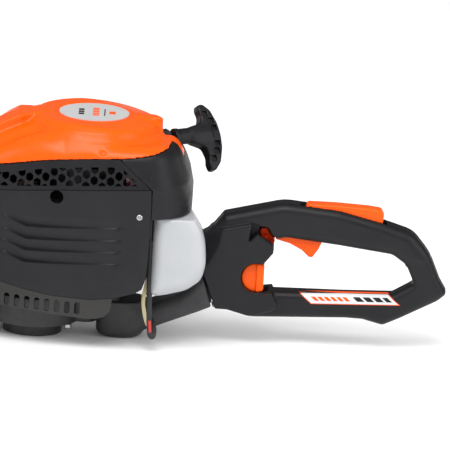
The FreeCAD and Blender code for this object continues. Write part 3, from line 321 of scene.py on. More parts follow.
def surface_net(field, low, high, step):
    """Quads on the zero level of a field over a box, with each vertex moved onto the surface."""
    low = np.array(low, float)
    counts = np.ceil((np.array(high, float) - low) / step).astype(int) + 1
    axes = [low[axis] + step * np.arange(counts[axis]) for axis in range(3)]
    grid = np.meshgrid(*axes, indexing="ij", sparse=True)
    values = np.array(np.broadcast_to(field(*grid), counts), np.float64)
    total = np.zeros((*(counts - 1), 3))
    number = np.zeros(counts - 1)
    crossings = []
    for axis in range(3):
        first = np.take(values, range(counts[axis] - 1), axis)
        second = np.take(values, range(1, counts[axis]), axis)
        crossing = (first < 0) != (second < 0)
        share = np.where(crossing, first / np.where(crossing, first - second, 1), 0)
        crossings.append((crossing, first < 0))
        across, along = (axis + 1) % 3, (axis + 2) % 3
        for shift_across in (0, 1):
            for shift_along in (0, 1):
                part = [slice(None)] * 3
                part[across] = slice(shift_across, shift_across + counts[across] - 1)
                part[along] = slice(shift_along, shift_along + counts[along] - 1)
                hit = crossing[tuple(part)]
                total[..., axis] += share[tuple(part)]
                total[..., across] += hit * shift_across
                total[..., along] += hit * shift_along
                number += hit
    active = number > 0
    points = low + (np.argwhere(active) + total[active] / number[active][:, None]) * step
    ids = np.full(counts - 1, -1)
    ids[active] = np.arange(len(points))
    quads = []
    for axis, (crossing, starts_inside) in enumerate(crossings):
        across, along = (axis + 1) % 3, (axis + 2) % 3
        inner = [slice(None)] * 3
        inner[across] = slice(1, counts[across] - 1)
        inner[along] = slice(1, counts[along] - 1)
        places = np.argwhere(crossing[tuple(inner)])
        forward = starts_inside[tuple(inner)][crossing[tuple(inner)]]
        places[:, across] += 1
        places[:, along] += 1
        corners = []
        for shift_across, shift_along in ((1, 1), (0, 1), (0, 0), (1, 0)):
            cell = places.copy()
            cell[:, across] -= shift_across
            cell[:, along] -= shift_along
            corners.append(ids[cell[:, 0], cell[:, 1], cell[:, 2]])
        ring = np.stack(corners, axis=1)
        ring[~forward] = ring[~forward][:, ::-1]
        quads.append(ring)
    small = step * 0.2
    for _ in range(2):
        here = field(*points.T)
        slope = np.stack([(field(*(points + small * np.eye(3)[axis]).T) - here) / small for axis in range(3)],
                         axis=1)
        steepness = np.maximum((slope ** 2).sum(axis=1), 0.25)
        move = -slope * (here / steepness)[:, None]
        reach = np.linalg.norm(move, axis=1)
        points = points + move * np.minimum(1, 0.5 * step / np.maximum(reach, 1e-9))[:, None]
    return points, np.concatenate(quads)


def solid_from_field(name, field, low, high, step, slot, body, stands_for=()):
    points, quads = surface_net(field, low, high, step)
    return new_object(name, points, quads.tolist(), slot, body, stands_for)


def eased(route, rounds=3):
    """Route with its corners cut repeatedly, so that it bends smoothly."""
    line = np.array(route, float)
    for _ in range(rounds):
        cut = np.empty((2 * len(line) - 2, 3))
        cut[0::2] = line[:-1] * 0.75 + line[1:] * 0.25
        cut[1::2] = line[:-1] * 0.25 + line[1:] * 0.75
        line = np.concatenate([line[:1], cut, line[-1:]])
    return line


def tube_points(line, radii, around):
    """Rings round a line; radii has one row per ring and one value per point of the ring."""
    ways = np.gradient(line, axis=0)
    ways /= np.linalg.norm(ways, axis=1)[:, None]
    across = np.cross(ways[0], (0.3, 0.2, 0.9))
    rings = []
    angles = np.arange(around) * 2 * math.pi / around
    for way, spot, reach in zip(ways, line, radii):
        across = across - way * (across @ way)
        across /= np.linalg.norm(across)
        beside = np.cross(way, across)
        rings.append(spot + (np.cos(angles) * reach)[:, None] * across
                     + (np.sin(angles) * reach)[:, None] * beside)
    return np.concatenate(rings)


def ring_faces(rings, around):
    """Quads between rings of points, and a cap at each end."""
    faces = [list(range(around))[::-1], [(rings - 1) * around + k for k in range(around)]]
    for ring in range(rings - 1):
        for k in range(around):
            after = (k + 1) % around
            faces.append((ring * around + k, ring * around + after, (ring + 1) * around + after,
                          (ring + 1) * around + k))
    return faces


def sweep_tube(name, route, radius, slot, body, stands_for=(), around=18):
    """Hose or cable that follows the route, with eased ends."""
    line = eased(route)
    radii = np.full((len(line), around), float(radius))
    radii[0] = radii[-1] = radius * 0.86
    return new_object(name, tube_points(line, radii, around), ring_faces(len(line), around), slot, body,
                      stands_for, 50)


def turned(profile, middle, around=24):
    """Points and faces of a solid turned about an axis along y; the profile lists (radius, y)."""
    angles = np.arange(around) * 2 * math.pi / around
    points = [(middle[0] + radius * math.cos(angle), y, middle[1] + radius * math.sin(angle))
              for radius, y in profile for angle in angles]
    return points, ring_faces(len(profile), around)


def merged(parts):
    """Several (points, faces) lists as one."""
    points, faces = [], []
    for part_points, part_faces in parts:
        faces += [tuple(index + len(points) for index in face) for face in part_faces]
        points += [tuple(point) for point in part_points]
    return points, faces


# ---------------------------------------------------------------- the engine's outer form

HALF_PLAN = [
    (113, 0), (113, 30), (109, 54), (98, 74), (77, 88.5), (45, 92.5), (10, 92.5), (-30, 90),
    (-66, 83), (-100, 72), (-132, 57), (-155, 34), (-163, 0),
]
PLAN = closed_spline(HALF_PLAN + [(x, -y) for x, y in HALF_PLAN[-2:0:-1]])
PLAN_GRID_START = -200
plan_x = np.arange(PLAN_GRID_START, 170.0)[:, None]
plan_y = np.arange(0.0, 130.0)[None, :]
PLAN_GRID = polygon_field(PLAN)(plan_x, plan_y)


def plan_distance(x, y):
    """Distance outside the plan outline, read from a one-millimetre grid of it."""
    x, y = np.broadcast_arrays(x, np.abs(y))
    across = np.clip(x - PLAN_GRID_START, 0, PLAN_GRID.shape[0] - 1.001)
    along = np.clip(y, 0, PLAN_GRID.shape[1] - 1.001)
    column, row = across.astype(int), along.astype(int)
    share_x, share_y = across - column, along - row
    near = PLAN_GRID[column, row] * (1 - share_y) + PLAN_GRID[column, row + 1] * share_y
    far = PLAN_GRID[column + 1, row] * (1 - share_y) + PLAN_GRID[column + 1, row + 1] * share_y
    return near * (1 - share_x) + far * share_x


COWL_SEAM = np.array([(-180, 186), (-100, 201), (-48, 212.5), (0, 217.5), (32, 219), (57, 222), (83, 228),
                      (96, 232), (140, 236)], float)
CREASE = np.array([(-180, 163), (-98, 174), (-33, 182), (68, 188), (140, 190)], float)
WALL = 3.0
NOSE_X = -163.5
REAR_WALL_X = 69.2
SCREW_X, SCREW_Z = 56.7, 157
HUB_TOP = 250
BADGE_TOP = HUB_TOP + 0.02


def smooth_line(line, x):
    """Height of a polyline at x with its corners eased over a few centimetres."""
    total = 0
    for shift in (-14, -7, 0, 7, 14):
        total = total + np.interp(x + shift, line[:, 0], line[:, 1])
    return total / 5


def seam_height(x):
    return smooth_line(COWL_SEAM, x)


def crease_height(x):
    return smooth_line(CREASE, x)


def lean(x, z):
    """The rear wall leans forward towards its top."""
    return 0.24 * np.maximum(0, z - 172) * np.maximum(0, x - 60) / 53


def inset(x, z):
    """How far the side wall stands inside the widest outline."""
    below = np.interp(z, [30, 58, 64, 72, 82, 95], [12, 9, 5.2, 2.2, 0.6, 0])
    above = np.maximum(0, z - crease_height(x)) * 0.215
    return below + above


def envelope(x, y, z):
    """Field of the whole engine cover without its top."""
    widened = x + lean(x, z)
    return plan_distance(widened, y) + inset(x, z)


# ---------------------------------------------------------------- skin panels

HALF_COUNT = 10 * (len(HALF_PLAN) - 1)
nose_to_rear = PLAN[:HALF_COUNT + 1][::-1]
LOOP = np.concatenate([nose_to_rear * (1, -1), nose_to_rear[-2:0:-1]])
loop_steps = np.linalg.norm(np.roll(LOOP, -1, axis=0) - LOOP, axis=1)
LOOP_LENGTH = loop_steps.sum()
LOOP_AT = np.concatenate([[0], np.cumsum(loop_steps)[:-1]])
loop_run = np.roll(LOOP, -1, axis=0) - np.roll(LOOP, 1, axis=0)
loop_run /= np.linalg.norm(loop_run, axis=1)[:, None]
LOOP_OUT = np.stack([loop_run[:, 1], -loop_run[:, 0]], axis=1)


def along_loop(t, values):
    return np.interp(t, LOOP_AT, values, period=LOOP_LENGTH)


def loop_place(x):
    """Distance round the left side of the plan outline, from the nose, of a place seen from the side."""
    rising = nose_to_rear[:, 0]
    keep = np.concatenate([[True], np.diff(np.maximum.accumulate(rising)) > 1e-6])
    return np.interp(x, rising[keep], LOOP_AT[:HALF_COUNT + 1][keep])


def skin_points(t, z, depth):
    x, y = along_loop(t, LOOP[:, 0]), along_loop(t, LOOP[:, 1])
    out_x, out_y = along_loop(t, LOOP_OUT[:, 0]), along_loop(t, LOOP_OUT[:, 1])
    inward = inset(x, z) + depth
    return np.stack([x - out_x * inward - lean(x, z), y - out_y * inward, z], axis=-1)


def side_view(points, side):
    """Outline in (x, z) of the side view turned into (distance round the plan, z)."""
    if side > 0:
        return [(LOOP_LENGTH - loop_place(x), z) for x, z in points]
    return [(loop_place(x), z) for x, z in points]


def finely(points, step, closed=True):
    """Polyline with points added so that no run is longer than step."""
    result = []
    last = len(points) if closed else len(points) - 1
    for index in range(last):
        start, end = np.array(points[index]), np.array(points[(index + 1) % len(points)])
        count = max(1, int(np.linalg.norm(end - start) / step))
        for part in range(count):
            result.append(start + (end - start) * part / count)
    if not closed:
        result.append(np.array(points[-1]))
    return np.array(result)


def flat_panel(border, holes, step, lines=()):
    """Triangles over a flat outline with holes, with an even grid of points inside."""
    loops = [np.array(border)] + [np.array(hole) for hole in holes]
    points, edges = [], []
    for loop in loops:
        first = len(points)
        points += loop.tolist()
        edges += [(first + index, first + (index + 1) % len(loop)) for index in range(len(loop))]
    for line in lines:
        first = len(points)
        points += np.array(line).tolist()
        edges += [(first + index, first + index + 1) for index in range(len(line) - 1)]
    fixed = np.array(points)
    fields = [polygon_field(loop) for loop in loops]

    def covered(a, b, margin):
        gap = fields[0](a, b)
        for hole in fields[1:]:
            gap = np.maximum(gap, -hole(a, b))
        return gap < -margin

    low, high = loops[0].min(axis=0), loops[0].max(axis=0)
    rows = np.arange(low[1] + step / 2, high[1], step * 0.87)
    columns = np.arange(low[0] + step / 2, high[0], step)
    grid_a = (columns[None, :] + (np.arange(len(rows)) % 2)[:, None] * step / 2).ravel()
    grid_b = np.repeat(rows, len(columns))
    keep = covered(grid_a, grid_b, step * 0.45)
    inner = np.stack([grid_a[keep], grid_b[keep]], axis=1)
    if lines:
        marks = np.concatenate([np.array(line) for line in lines])
        apart = np.full(len(inner), np.inf)
        for mark in marks:
            apart = np.minimum(apart, np.linalg.norm(inner - mark, axis=1))
        inner = inner[apart > step * 0.45]
    every = np.concatenate([fixed, inner])
    result = delaunay_2d_cdt([Vector(point) for point in every], edges, [], 0, 1e-5)
    spots = np.array([tuple(vertex) for vertex in result[0]])
    triangles = np.array([tuple(face) for face in result[2]])
    centres = spots[triangles].mean(axis=1)
    triangles = triangles[covered(centres[:, 0], centres[:, 1], 0)]
    first, second, third = (spots[triangles[:, corner]] for corner in range(3))
    area = (second - first)[:, 0] * (third - first)[:, 1] - (second - first)[:, 1] * (third - first)[:, 0]
    triangles = triangles[np.abs(area) > 1e-6]
    area = area[np.abs(area) > 1e-6]
    triangles[area < 0] = triangles[area < 0][:, ::-1]
    return spots, triangles


def thickened(tops, count):
    """Faces of a sheet with a second layer count points further on, closed round its edges."""
    edges = {}
    for top in tops:
        for edge in zip(top, top[1:] + top[:1]):
            if edge[::-1] in edges:
                del edges[edge[::-1]]
            else:
                edges[edge] = True
    under = [[index + count for index in top[::-1]] for top in tops]
    walls = [(start, start + count, end + count, end) for start, end in edges]
    return tops + under + walls


def skin_panel(name, slot, border, holes, step, stands_for, depth=None, wall=WALL, lines=(), sunk=0.0):
    """Curved panel of even thickness on the engine's outer form."""
    spots, triangles = flat_panel(border, holes, step, lines)
    t, z = spots[:, 0], spots[:, 1]
    relief = depth(along_loop(t, LOOP[:, 0]), z) if depth else 0
    outer = skin_points(t, z, relief + sunk)
    inner = skin_points(t, z, relief + sunk + wall)
    faces = thickened(triangles.tolist(), len(spots))
    made = new_object(name, np.concatenate([outer, inner]), faces, slot, "engine", stands_for, 35)
    bevel = made.modifiers.new("edge", "BEVEL")
    bevel.width = 0.00035
    bevel.segments = 2
    bevel.limit_method = "ANGLE"
    bevel.angle_limit = math.radians(50)
    return made


# ---------------------------------------------------------------- top cowl

# Each table lists (x, value) rows for table(); HUB_WALL lists (z, radius).
DECK_LINE = np.array([(-165, 190), (-150, 203), (-130, 214), (-102, 228), (-75, 239), (-50, 243), (-30, 242),
                      (-10, 236), (10, 232), (40, 231), (80, 231), (94, 231), (106, 226), (120, 214),
                      (150, 190)], float)
DECK_EDGE = np.array([(-165, 20), (-60, 28), (-30, 28), (0, 14), (126, 12)], float)
PLATEAU_TOP = np.array([(-150, 208), (-120, 231), (-104, 238), (-93, 244), (-82, 248), (-70, 249.6),
                        (-50, 249.8)], float)
PLATEAU_HALF = np.array([(-150, 50), (-120, 44), (-103, 33), (-79, 27), (-60, 16), (-50, 8)], float)
HUB_WALL = np.array([(200, 82), (232, 76), (243, 70), (250, 63)], float)
ROPE_WAY = np.array([math.cos(math.radians(30)), math.sin(math.radians(30)), 0])
ROPE_SIDE = np.array([ROPE_WAY[1], -ROPE_WAY[0], 0])
ROPE_Z = 224
ROPE_START = ROPE_SIDE * 34.9 + (0, 0, ROPE_Z)


def rope_spot(distance):
    return ROPE_START + ROPE_WAY * distance


def rope_frame(x, y):
    """Distance along the rope's line and to its side, seen from above."""
    away_x, away_y = x - ROPE_START[0], y - ROPE_START[1]
    return away_x * ROPE_WAY[0] + away_y * ROPE_WAY[1], away_x * ROPE_SIDE[0] + away_y * ROPE_SIDE[1]


def table(line, x):
    """Value at x of a list of (x, value) rows."""
    return np.interp(x, line[:, 0], line[:, 1])


def cowl_foot(x, y):
    """Lower edge of the cowl: level round the sides, with a tongue down the middle of the rear wall."""
    tongue = np.clip((x - 84) / 12, 0, 1) * np.clip((34 - np.abs(y)) / 16, 0, 1)
    return seam_height(x) - 22 * tongue * tongue * (3 - 2 * tongue)


def far_fall(x, y):
    """How far the rear of the deck falls away towards the operator's right."""
    return 0.36 * np.clip((x - 45) / 30, 0, 1) * np.maximum(0, y)


def cowl_outside(x, y, z):
    deck = sum(table(DECK_LINE, x + shift) for shift in (-12, -6, 0, 6, 12)) / 5
    away = np.hypot(x, y)
    valley_t = np.clip((x + 38) / -66, 0, 1)
    valley = np.hypot(x - (-38 - 66 * valley_t), np.abs(y) - (47 + 1.5 * valley_t))
    front = np.clip((-40 - x) / 50, 0, 1)
    deck = deck - 6.5 * np.exp(-(valley / 9) ** 2) - 0.13 * front * np.maximum(0, y) - far_fall(x, y)
    body = meet(envelope(x, y, z), (z - deck) * 0.95, table(DECK_EDGE, x))
    slope = 0.22 * np.maximum(0, away - 42) * np.clip(x / np.maximum(away, 1) + 0.25, 0, 1)
    hub = meet((away - table(HUB_WALL, z)) * 0.85, z - HUB_TOP + slope, 1.6)
    plateau_fall = np.interp(x, [-108, -82], [0.3, 0.06]) * np.maximum(0, y - 3)
    plateau = meet((np.abs(y) - table(PLATEAU_HALF, x)) * 0.75,
                   (z - table(PLATEAU_TOP, x) + plateau_fall) * 0.95, 2.0)
    plateau = meet(plateau, envelope(x, y, z) + 6, 16.0)
    solid = join(join(body, plateau, 5.0), hub, 6.0)
    dish = np.maximum(away - 43.5, 249.3 - z)
    solid = carve(solid, dish, 0.6)
    dimple = (np.sqrt(((x - 13) / 6.2) ** 2 + ((y + 85) / 5.0) ** 2 + ((z - 228) / 6.6) ** 2) - 1) * 5
    solid = carve(solid, dimple, 1.0)
    along, across = rope_frame(x, y)
    scoop = meet(np.hypot(across, np.minimum(z - ROPE_Z, 0)) - 13.5, 63 - along, 3.0)
    return carve(solid, scoop, 2.5)


def cowl_field(x, y, z):
    outside = cowl_outside(x, y, z)
    inside = -(outside + WALL)
    grommet_hole = np.hypot(rope_frame(x, y)[1], z - ROPE_Z) - 6.2
    behind = (x * ROPE_WAY[0] + y * ROPE_WAY[1]) < 40
    shell = np.maximum(outside, inside)
    shell = np.maximum(shell, np.where(behind, -50, -grommet_hole))
    return np.maximum(shell, (cowl_foot(x, y) + 0.35 - z) * 0.98)


solid_from_field("starter_cowl_form", cowl_field, (-170, -98, 184), (132, 98, 252.5), 1.25, "orange_gloss",
                 "engine", ("starter_cowl",))


# ---------------------------------------------------------------- side covers, grilles, shroud and guard

COVER_FOOT = [(68.9, 139), (68.4, 107), (67.3, 87), (63.6, 75), (56, 70), (34.5, 63), (7, 59), (-37, 61),
              (-70, 66), (-92.6, 71), (-120, 74), (-145, 76), (NOSE_X, 77)]
RIB_LEVELS = (137, 123, 110, 96.5)


def rib_line(level, x):
    return level + (x + 67) * 0.055 + np.maximum(0, -67 - x) * 0.42


def gill_depth(x, z):
    """Recess above each gill: a step at the gill's crest that runs out upwards."""
    strength = np.interp(x, [-96, -84, -66, -10, 34, 42], [0, 2.0, 3.4, 2.2, 0.7, 0])
    depth = 0
    for level in RIB_LEVELS:
        above = z - rib_line(level, x)
        depth = depth + strength * np.interp(above, [0, 1.1, 3.0, 9.5], [0, 1, 0.86, 0])
    return depth


def circle(x, z, radius, count=40):
    return [(x + radius * math.cos(2 * math.pi * k / count), z + radius * math.sin(2 * math.pi * k / count))
            for k in range(count)]


def make_side_cover(side, name):
    crease = [(x, crease_height(x) - 0.25) for x in np.linspace(NOSE_X, 68.9, 60)]
    border = crease + [(68.9, 160), *COVER_FOOT]
    holes = [circle(-35, 174, 7.5), circle(SCREW_X, SCREW_Z, 2.6)]
    lines = []
    for level in RIB_LEVELS:
        for lift in (0.0, 1.1):
            xs = np.linspace(-92, 38, 70)
            lines.append(side_view([(x, rib_line(level, x) + lift) for x in xs], side))
    skin_panel(
        f"{name}_form", "black_plastic", finely(side_view(border, side), 2.5),
        [side_view(hole, side) for hole in holes], 2.6, (name,), gill_depth, lines=lines)


def clipped(cell, low, high):
    """Part of a cell between two curves of x: low(x) below and high(x) above."""
    for limit, sign in ((low, 1), (high, -1)):
        kept = []
        for index, point in enumerate(cell):
            following = cell[(index + 1) % len(cell)]
            here = sign * (point[1] - limit(point[0]))
            there = sign * (following[1] - limit(following[0]))
            if here >= 0:
                kept.append(point)
            if (here >= 0) != (there >= 0):
                share = here / (here - there)
                kept.append(tuple(point[axis] + (following[axis] - point[axis]) * share for axis in (0, 1)))
        cell = kept
        if len(cell) < 3:
            return []
    return cell


def cell_outline(x, z):
    return [(x, z + 5.25), (x + 3.95, z + 2.6), (x + 3.95, z - 2.6), (x, z - 5.25), (x - 3.95, z - 2.6),
            (x - 3.95, z + 2.6)]


def diagonal_height(x):
    return 219 - (x - 32) * 31 / 36


def make_grille(side, name):
    top = [(x, seam_height(x) - 0.25) for x in np.linspace(31.5, NOSE_X, 60)]
    foot = [(x, crease_height(x) + 0.25) for x in np.linspace(NOSE_X, 68.2, 60)]
    border = top + foot
    cells = []
    for column in range(-3, 18):
        x = 40.8 - 8.97 * column
        base = 194.7 if column % 2 == 0 else 188.5
        drop = 0.0035 * min(0, x + 40) ** 2
        for row in range(-2, 4):
            cell = clipped(cell_outline(x, base + 12.4 * row - drop), lambda at: crease_height(at) + 4.5,
                           lambda at: min(seam_height(at) - 8.5, diagonal_height(at) - 6.5))
            corners = np.array(cell)
            if len(cell) and np.ptp(corners[:, 0]) > 2.5 and np.ptp(corners[:, 1]) > 2.5:
                cells.append(cell)
    skin_panel(
        f"{name}_form", "black_plastic", finely(side_view(border, side), 3.0),
        [side_view(cell, side) for cell in cells], 4.0, (name,), sunk=0.8)


for side, hand in ((-1, "left"), (1, "right")):
    make_side_cover(side, f"{hand}_side_cover")
    make_grille(side, f"{hand}_intake_grille")

SHROUD_SIDE = [(REAR_WALL_X, 154), (96, 154.5), (112, 154), (126, 154), (145, 154), (145, 240), (28, 240),
               (32.6, 218.5),
               (REAR_WALL_X, 187.5)]
shroud_side = polygon_field(rounded(SHROUD_SIDE))


def shroud_field(x, y, z):
    outside = meet(envelope(x, y, z), (z - table(DECK_LINE, x) + far_fall(x, y)) * 0.85, table(DECK_EDGE, x))
    shell = np.maximum(outside, -(outside + WALL))
    along, across = rope_frame(x, y)
    scoop = np.maximum(np.hypot(across, np.minimum(z - ROPE_Z, 0)) - 14.2, 63 - along)
    under_cowl = (z - cowl_foot(x, y) + 0.25) * 0.98
    cover = np.maximum(meet(np.maximum(shell, -scoop), shroud_side(x, z), 0.5), under_cowl)
    wall = np.minimum(np.maximum(np.abs(y) - 58, np.abs(z - 109) - 48),
                      np.maximum(np.abs(y) - 86, np.abs(z - 143) - 13))
    wall = meet(np.abs(x - REAR_WALL_X) - 2.1, wall, 0.4)
    return np.minimum(cover, wall)


solid_from_field("rear_shroud_form", shroud_field, (28, -98, 58), (130, 98, 236), 1.4, "black_plastic",
                 "engine",
                 ("rear_shroud",))

GUARD_FOOT = [(NOSE_X, 48), (-90, 42), (-14, 37.4), (5, 36), (16, 37), (24, 39.8), (29.5, 46), (31.3, 54)]


def make_guard():
    top = [(NOSE_X, 76.5), (-120, 73.5), (-92.6, 70.5), (-70, 65.5), (-37, 60.5), (7, 58.5), (31.5, 62)]
    left = side_view(GUARD_FOOT, -1)
    back = side_view(top[::-1], -1)
    right_top = [(t - LOOP_LENGTH, z) for t, z in side_view(top, 1)]
    right_foot = [(t - LOOP_LENGTH, z) for t, z in side_view(GUARD_FOOT[::-1], 1)]
    border = right_foot[:-1] + left[1:] + back[:-1] + right_top[1:]
    holes = []
    for side in (-1, 1):
        for index in range(-5, 8):
            start = -90.3 + 11.5 * index
            lift = 0.03 * (start + 86)
            slot = rounded([(start, 42.9 - lift, 2.9), (start + 6.4, 42.9 - lift, 2.9),
                            (start + 6.4, 57.0 - lift, 2.9), (start, 57.0 - lift, 2.9)], 30)
            unrolled = side_view(slot, side)
            holes.append([(t - LOOP_LENGTH, z) for t, z in unrolled] if side > 0 else unrolled)
    skin_panel("lower_guard_form", "guard_grey", finely(border, 2.5), holes, 3.5, ("lower_guard",))


make_guard()


# ---------------------------------------------------------------- rear handle

# Outlines of the side view list (x, z) or (x, z, corner radius).
HANDLE_OUTER = [
    (128, 82, 2), (144.5, 40, 2), (158, 40, 12), (171.6, 36, 20), (184, 30.2, 16), (288, 35.3, 30),
    (307, 34.9, 10), (330, 29.4, 8), (349, 38.6, 6), (389, 60.4, 20), (399, 69.5, 5), (390, 84, 8),
    (377.4, 113.2, 60),
    (358, 136, 25), (322.6, 145.7, 40), (275.7, 156.5, 60), (236.9, 159.5, 40), (214, 161.4, 40),
    (149.6, 145, 4), (139, 131, 3), (125.5, 121.6, 3),
]
HANDLE_OPENING = [
    (195, 91, 6), (207, 106.7, 3), (206, 119.5, 3), (219, 122.8, 6), (278, 117.3, 30), (336, 110.5, 12),
    (350, 101, 7), (359.5, 80, 3), (338, 66.8, 4), (281, 64.6, 30), (206.2, 63.2, 4), (195, 61.5, 3),
    (187, 80, 8),
]
BODY_OUTLINE = [
    (126, 79), (143, 40.4), (158, 40.2, 12), (171.6, 36.7, 20), (184, 33.6, 16), (216, 44, 24),
    (206, 62, 20), (189, 80, 8), (195, 91, 8), (208, 105, 3), (207, 115.2, 1.5), (186.5, 127.6, 1.2),
    (177.6, 118.3, 0.6),
    (180.6, 139.2, 1), (151, 132.2, 3), (126, 122),
]
BODY_FACE = [
    (134.3, 91.5), (145.2, 111.8), (148, 128.3), (153.5, 150.4), (400, 190), (400, 0), (100, 0), (118, 60),
]
GRIP_OUTLINE = [
    (136, 110), (185, 110), (219, 119, 10), (278, 117.3, 30), (334, 109.9, 14), (347, 98), (372, 106),
    (356, 134, 25), (322.6, 145, 40), (275.7, 156, 60), (236.9, 161.5, 40), (214, 164.2, 40), (150, 150),
    (136, 131),
]
SWITCH_BAY = [
    (180.5, 139.4, 1), (177.4, 117.8, 0.6), (186.5, 127.6, 0.6), (206.6, 115.5, 1), (210, 121.5, 3),
    (203, 127, 5), (198.5, 134.6, 3), (190, 136, 3),
]
LEVER_MIDDLE = (187.9, 76.6)
SWITCH_Y = -4.2
SWIVEL = math.radians(19.2)
SWIVEL_CENTRE = (136, 0, 57)

handle_outer = polygon_field(rounded(HANDLE_OUTER))
handle_opening = polygon_field(rounded(HANDLE_OPENING))
body_side = polygon_field(rounded(BODY_OUTLINE))
grip_side = polygon_field(rounded(GRIP_OUTLINE))
body_face = polygon_field(BODY_FACE)
switch_bay = polygon_field(rounded(SWITCH_BAY))
trigger_slot = polygon_field([(203, 134), (202, 112), (262, 100), (264, 134)])
lockout_slot = polygon_field([(232, 150), (232, 170), (328, 170), (328, 138)])
switch_slot = polygon_field([(189, 133), (189, 124), (203.5, 111.5), (209, 116), (208, 121), (200.5, 128.5),
                             (197.5, 133)])
lever_slot = polygon_field([(160, 46), (160, 96), (203, 96), (203, 62), (190, 46)])


BODY_HALF, GRIP_HALF, RAIL_HALF = 22.3, 16.9, 14.4
SCREW_SEAT = 3.6
# Screws as (x, z, half width of the handle there), pins as (x, z, radius).
HANDLE_SCREWS = ((160, 128, BODY_HALF), (236, 141, GRIP_HALF), (348, 122, GRIP_HALF), (374, 80, RAIL_HALF),
                 (318, 48, RAIL_HALF), (222, 48, RAIL_HALF))
CONTROL_PINS = ((212, 125.5, 2.5), (243, 157.5, 1.95), (197, 120.5, 1.5))


def swivel_along(x, z):
    return (x - SWIVEL_CENTRE[0]) * math.cos(SWIVEL) + (z - SWIVEL_CENTRE[2]) * math.sin(SWIVEL)


def swivel_lift(x, z):
    return -(x - SWIVEL_CENTRE[0]) * math.sin(SWIVEL) + (z - SWIVEL_CENTRE[2]) * math.cos(SWIVEL)


def swivel_away(x, y, z):
    return np.hypot(y, swivel_lift(x, z))


def handle_field(x, y, z):
    flat_y = np.abs(y)
    ring = np.maximum(handle_outer(x, z) + 0.3, 1.4 - handle_opening(x, z))
    grip = meet(np.maximum(grip_side(x, z), ring), flat_y - GRIP_HALF, 9.0)
    chamfer = 0.62 * np.maximum(0, body_face(x, z))
    body = meet(np.maximum(body_side(x, z), ring), flat_y - BODY_HALF + chamfer, 2.2)
    rail = meet(ring, flat_y - RAIL_HALF, 8.0)
    grip = np.maximum(grip, flat_y - GRIP_HALF + 0.4 * chamfer)
    solid = join(join(rail, grip, 5.0), body, 1.6)
    scoop = np.maximum(np.hypot(x - LEVER_MIDDLE[0], z - LEVER_MIDDLE[1] - 1) - 16.8, y - 9)
    solid = carve(solid, scoop, 0.8)
    solid = carve(solid, np.maximum(switch_bay(x, z), 8.0 - flat_y), 0.8)
    slots = np.maximum(trigger_slot(x, z), flat_y - 6.6)
    slots = np.minimum(slots, np.maximum(lockout_slot(x, z), flat_y - 9.6))
    slots = np.minimum(slots, np.maximum(switch_slot(x, z), np.abs(y - SWITCH_Y) - 9.4))
    slots = np.minimum(slots, np.maximum(lever_slot(x, z), flat_y - 10.5))
    solid = carve(solid, slots, 0.6)
    for spot_x, spot_z, top in HANDLE_SCREWS:
        well = np.maximum(np.hypot(x - spot_x, z - spot_z) - 4.2, top - SCREW_SEAT - y)
        solid = carve(solid, well, 0.4)
    socket = np.maximum(swivel_away(x, y, z) - 12.4, np.abs(swivel_along(x, z) - 6) - 10)
    flange_room = np.maximum(swivel_away(x, y, z) - 15.8, np.abs(swivel_along(x, z) - 17.2) - 3.5)
    socket = np.minimum(socket, flange_room)
    solid = carve(solid, socket, 0.2)
    return meet(solid, 0.4 - swivel_along(x, z), 0.8)


for hand, side in (("left", -1), ("right", 1)):
    def half_field(x, y, z, side=side):
        return meet(handle_field(x, y, z), 0.05 - side * y, 0.6)

    low_y, high_y = (-24, 1.2) if side < 0 else (-1.2, 24)
    solid_from_field(
        f"handle_{hand}_form", half_field, (124, low_y, 26), (402, high_y, 166), 1.25, "black_plastic",
        "rear_handle", (f"handle_{hand}_half",))


def slab_piece(name, outline_points, half, radius, body, stands_for, step, extra, middle=0.0):
    """Orange control of even thickness with rounded edges, drilled for its pin."""
    side_field = polygon_field(rounded(outline_points))

    def field(x, y, z):
        solid = meet(side_field(x, z), np.abs(y - middle) - half, radius)
        return extra(x, z, solid)

    spots = np.array([point[:2] for point in outline_points])
    low, high = spots.min(axis=0) - 2, spots.max(axis=0) + 2
    solid_from_field(name, field, (low[0], -half - 1.5, low[1]), (high[0], half + 1.5, high[1]), step,
                     "orange_gloss", body, (stands_for,))


def drilled(centre_x, centre_z, radius):
    """Rule that drills a hole through a slab piece, for the pin it turns on."""
    def extra(x, z, solid):
        return np.maximum(solid, radius - np.hypot(x - centre_x, z - centre_z))
    return extra


slab_piece("throttle_trigger_form", [
    (206, 125, 3), (212, 131, 4), (230, 126, 6), (258.6, 123, 2), (258.4, 119.4, 1), (254.8, 110.5, 14),
    (248.4, 100.9, 1.6), (244.4, 101.2, 3), (236.5, 108.4, 12), (223, 115.2, 14), (207, 119.2, 2)], 6.0, 2.0,
    "trigger", "throttle_trigger", 0.8, drilled(212, 125.5, 2.55))
slab_piece("throttle_lockout_form", [
    (237, 156.5, 3), (240, 162.4, 3), (270, 162.6, 60), (305, 161.3, 60), (321, 159.6, 5), (324.5, 154, 3),
    (323.5, 143, 3), (316, 143, 2), (300, 146, 8), (245, 152, 4)], 9.0, 3.2,
    "lockout", "throttle_lockout", 0.9, drilled(243, 157.5, 2.0))
slab_piece("stop_switch_form", [
    (189.8, 127.5, 1.2), (190.6, 131.6, 1.2), (196.8, 132.4, 1.2), (199.6, 126.6, 5), (206.2, 119.2, 1.2),
    (205.4, 114.6, 1.2), (196, 118.2, 3)], 8.9, 1.0,
    "switch", "stop_switch", 0.7, drilled(197, 120.5, 1.55), SWITCH_Y)


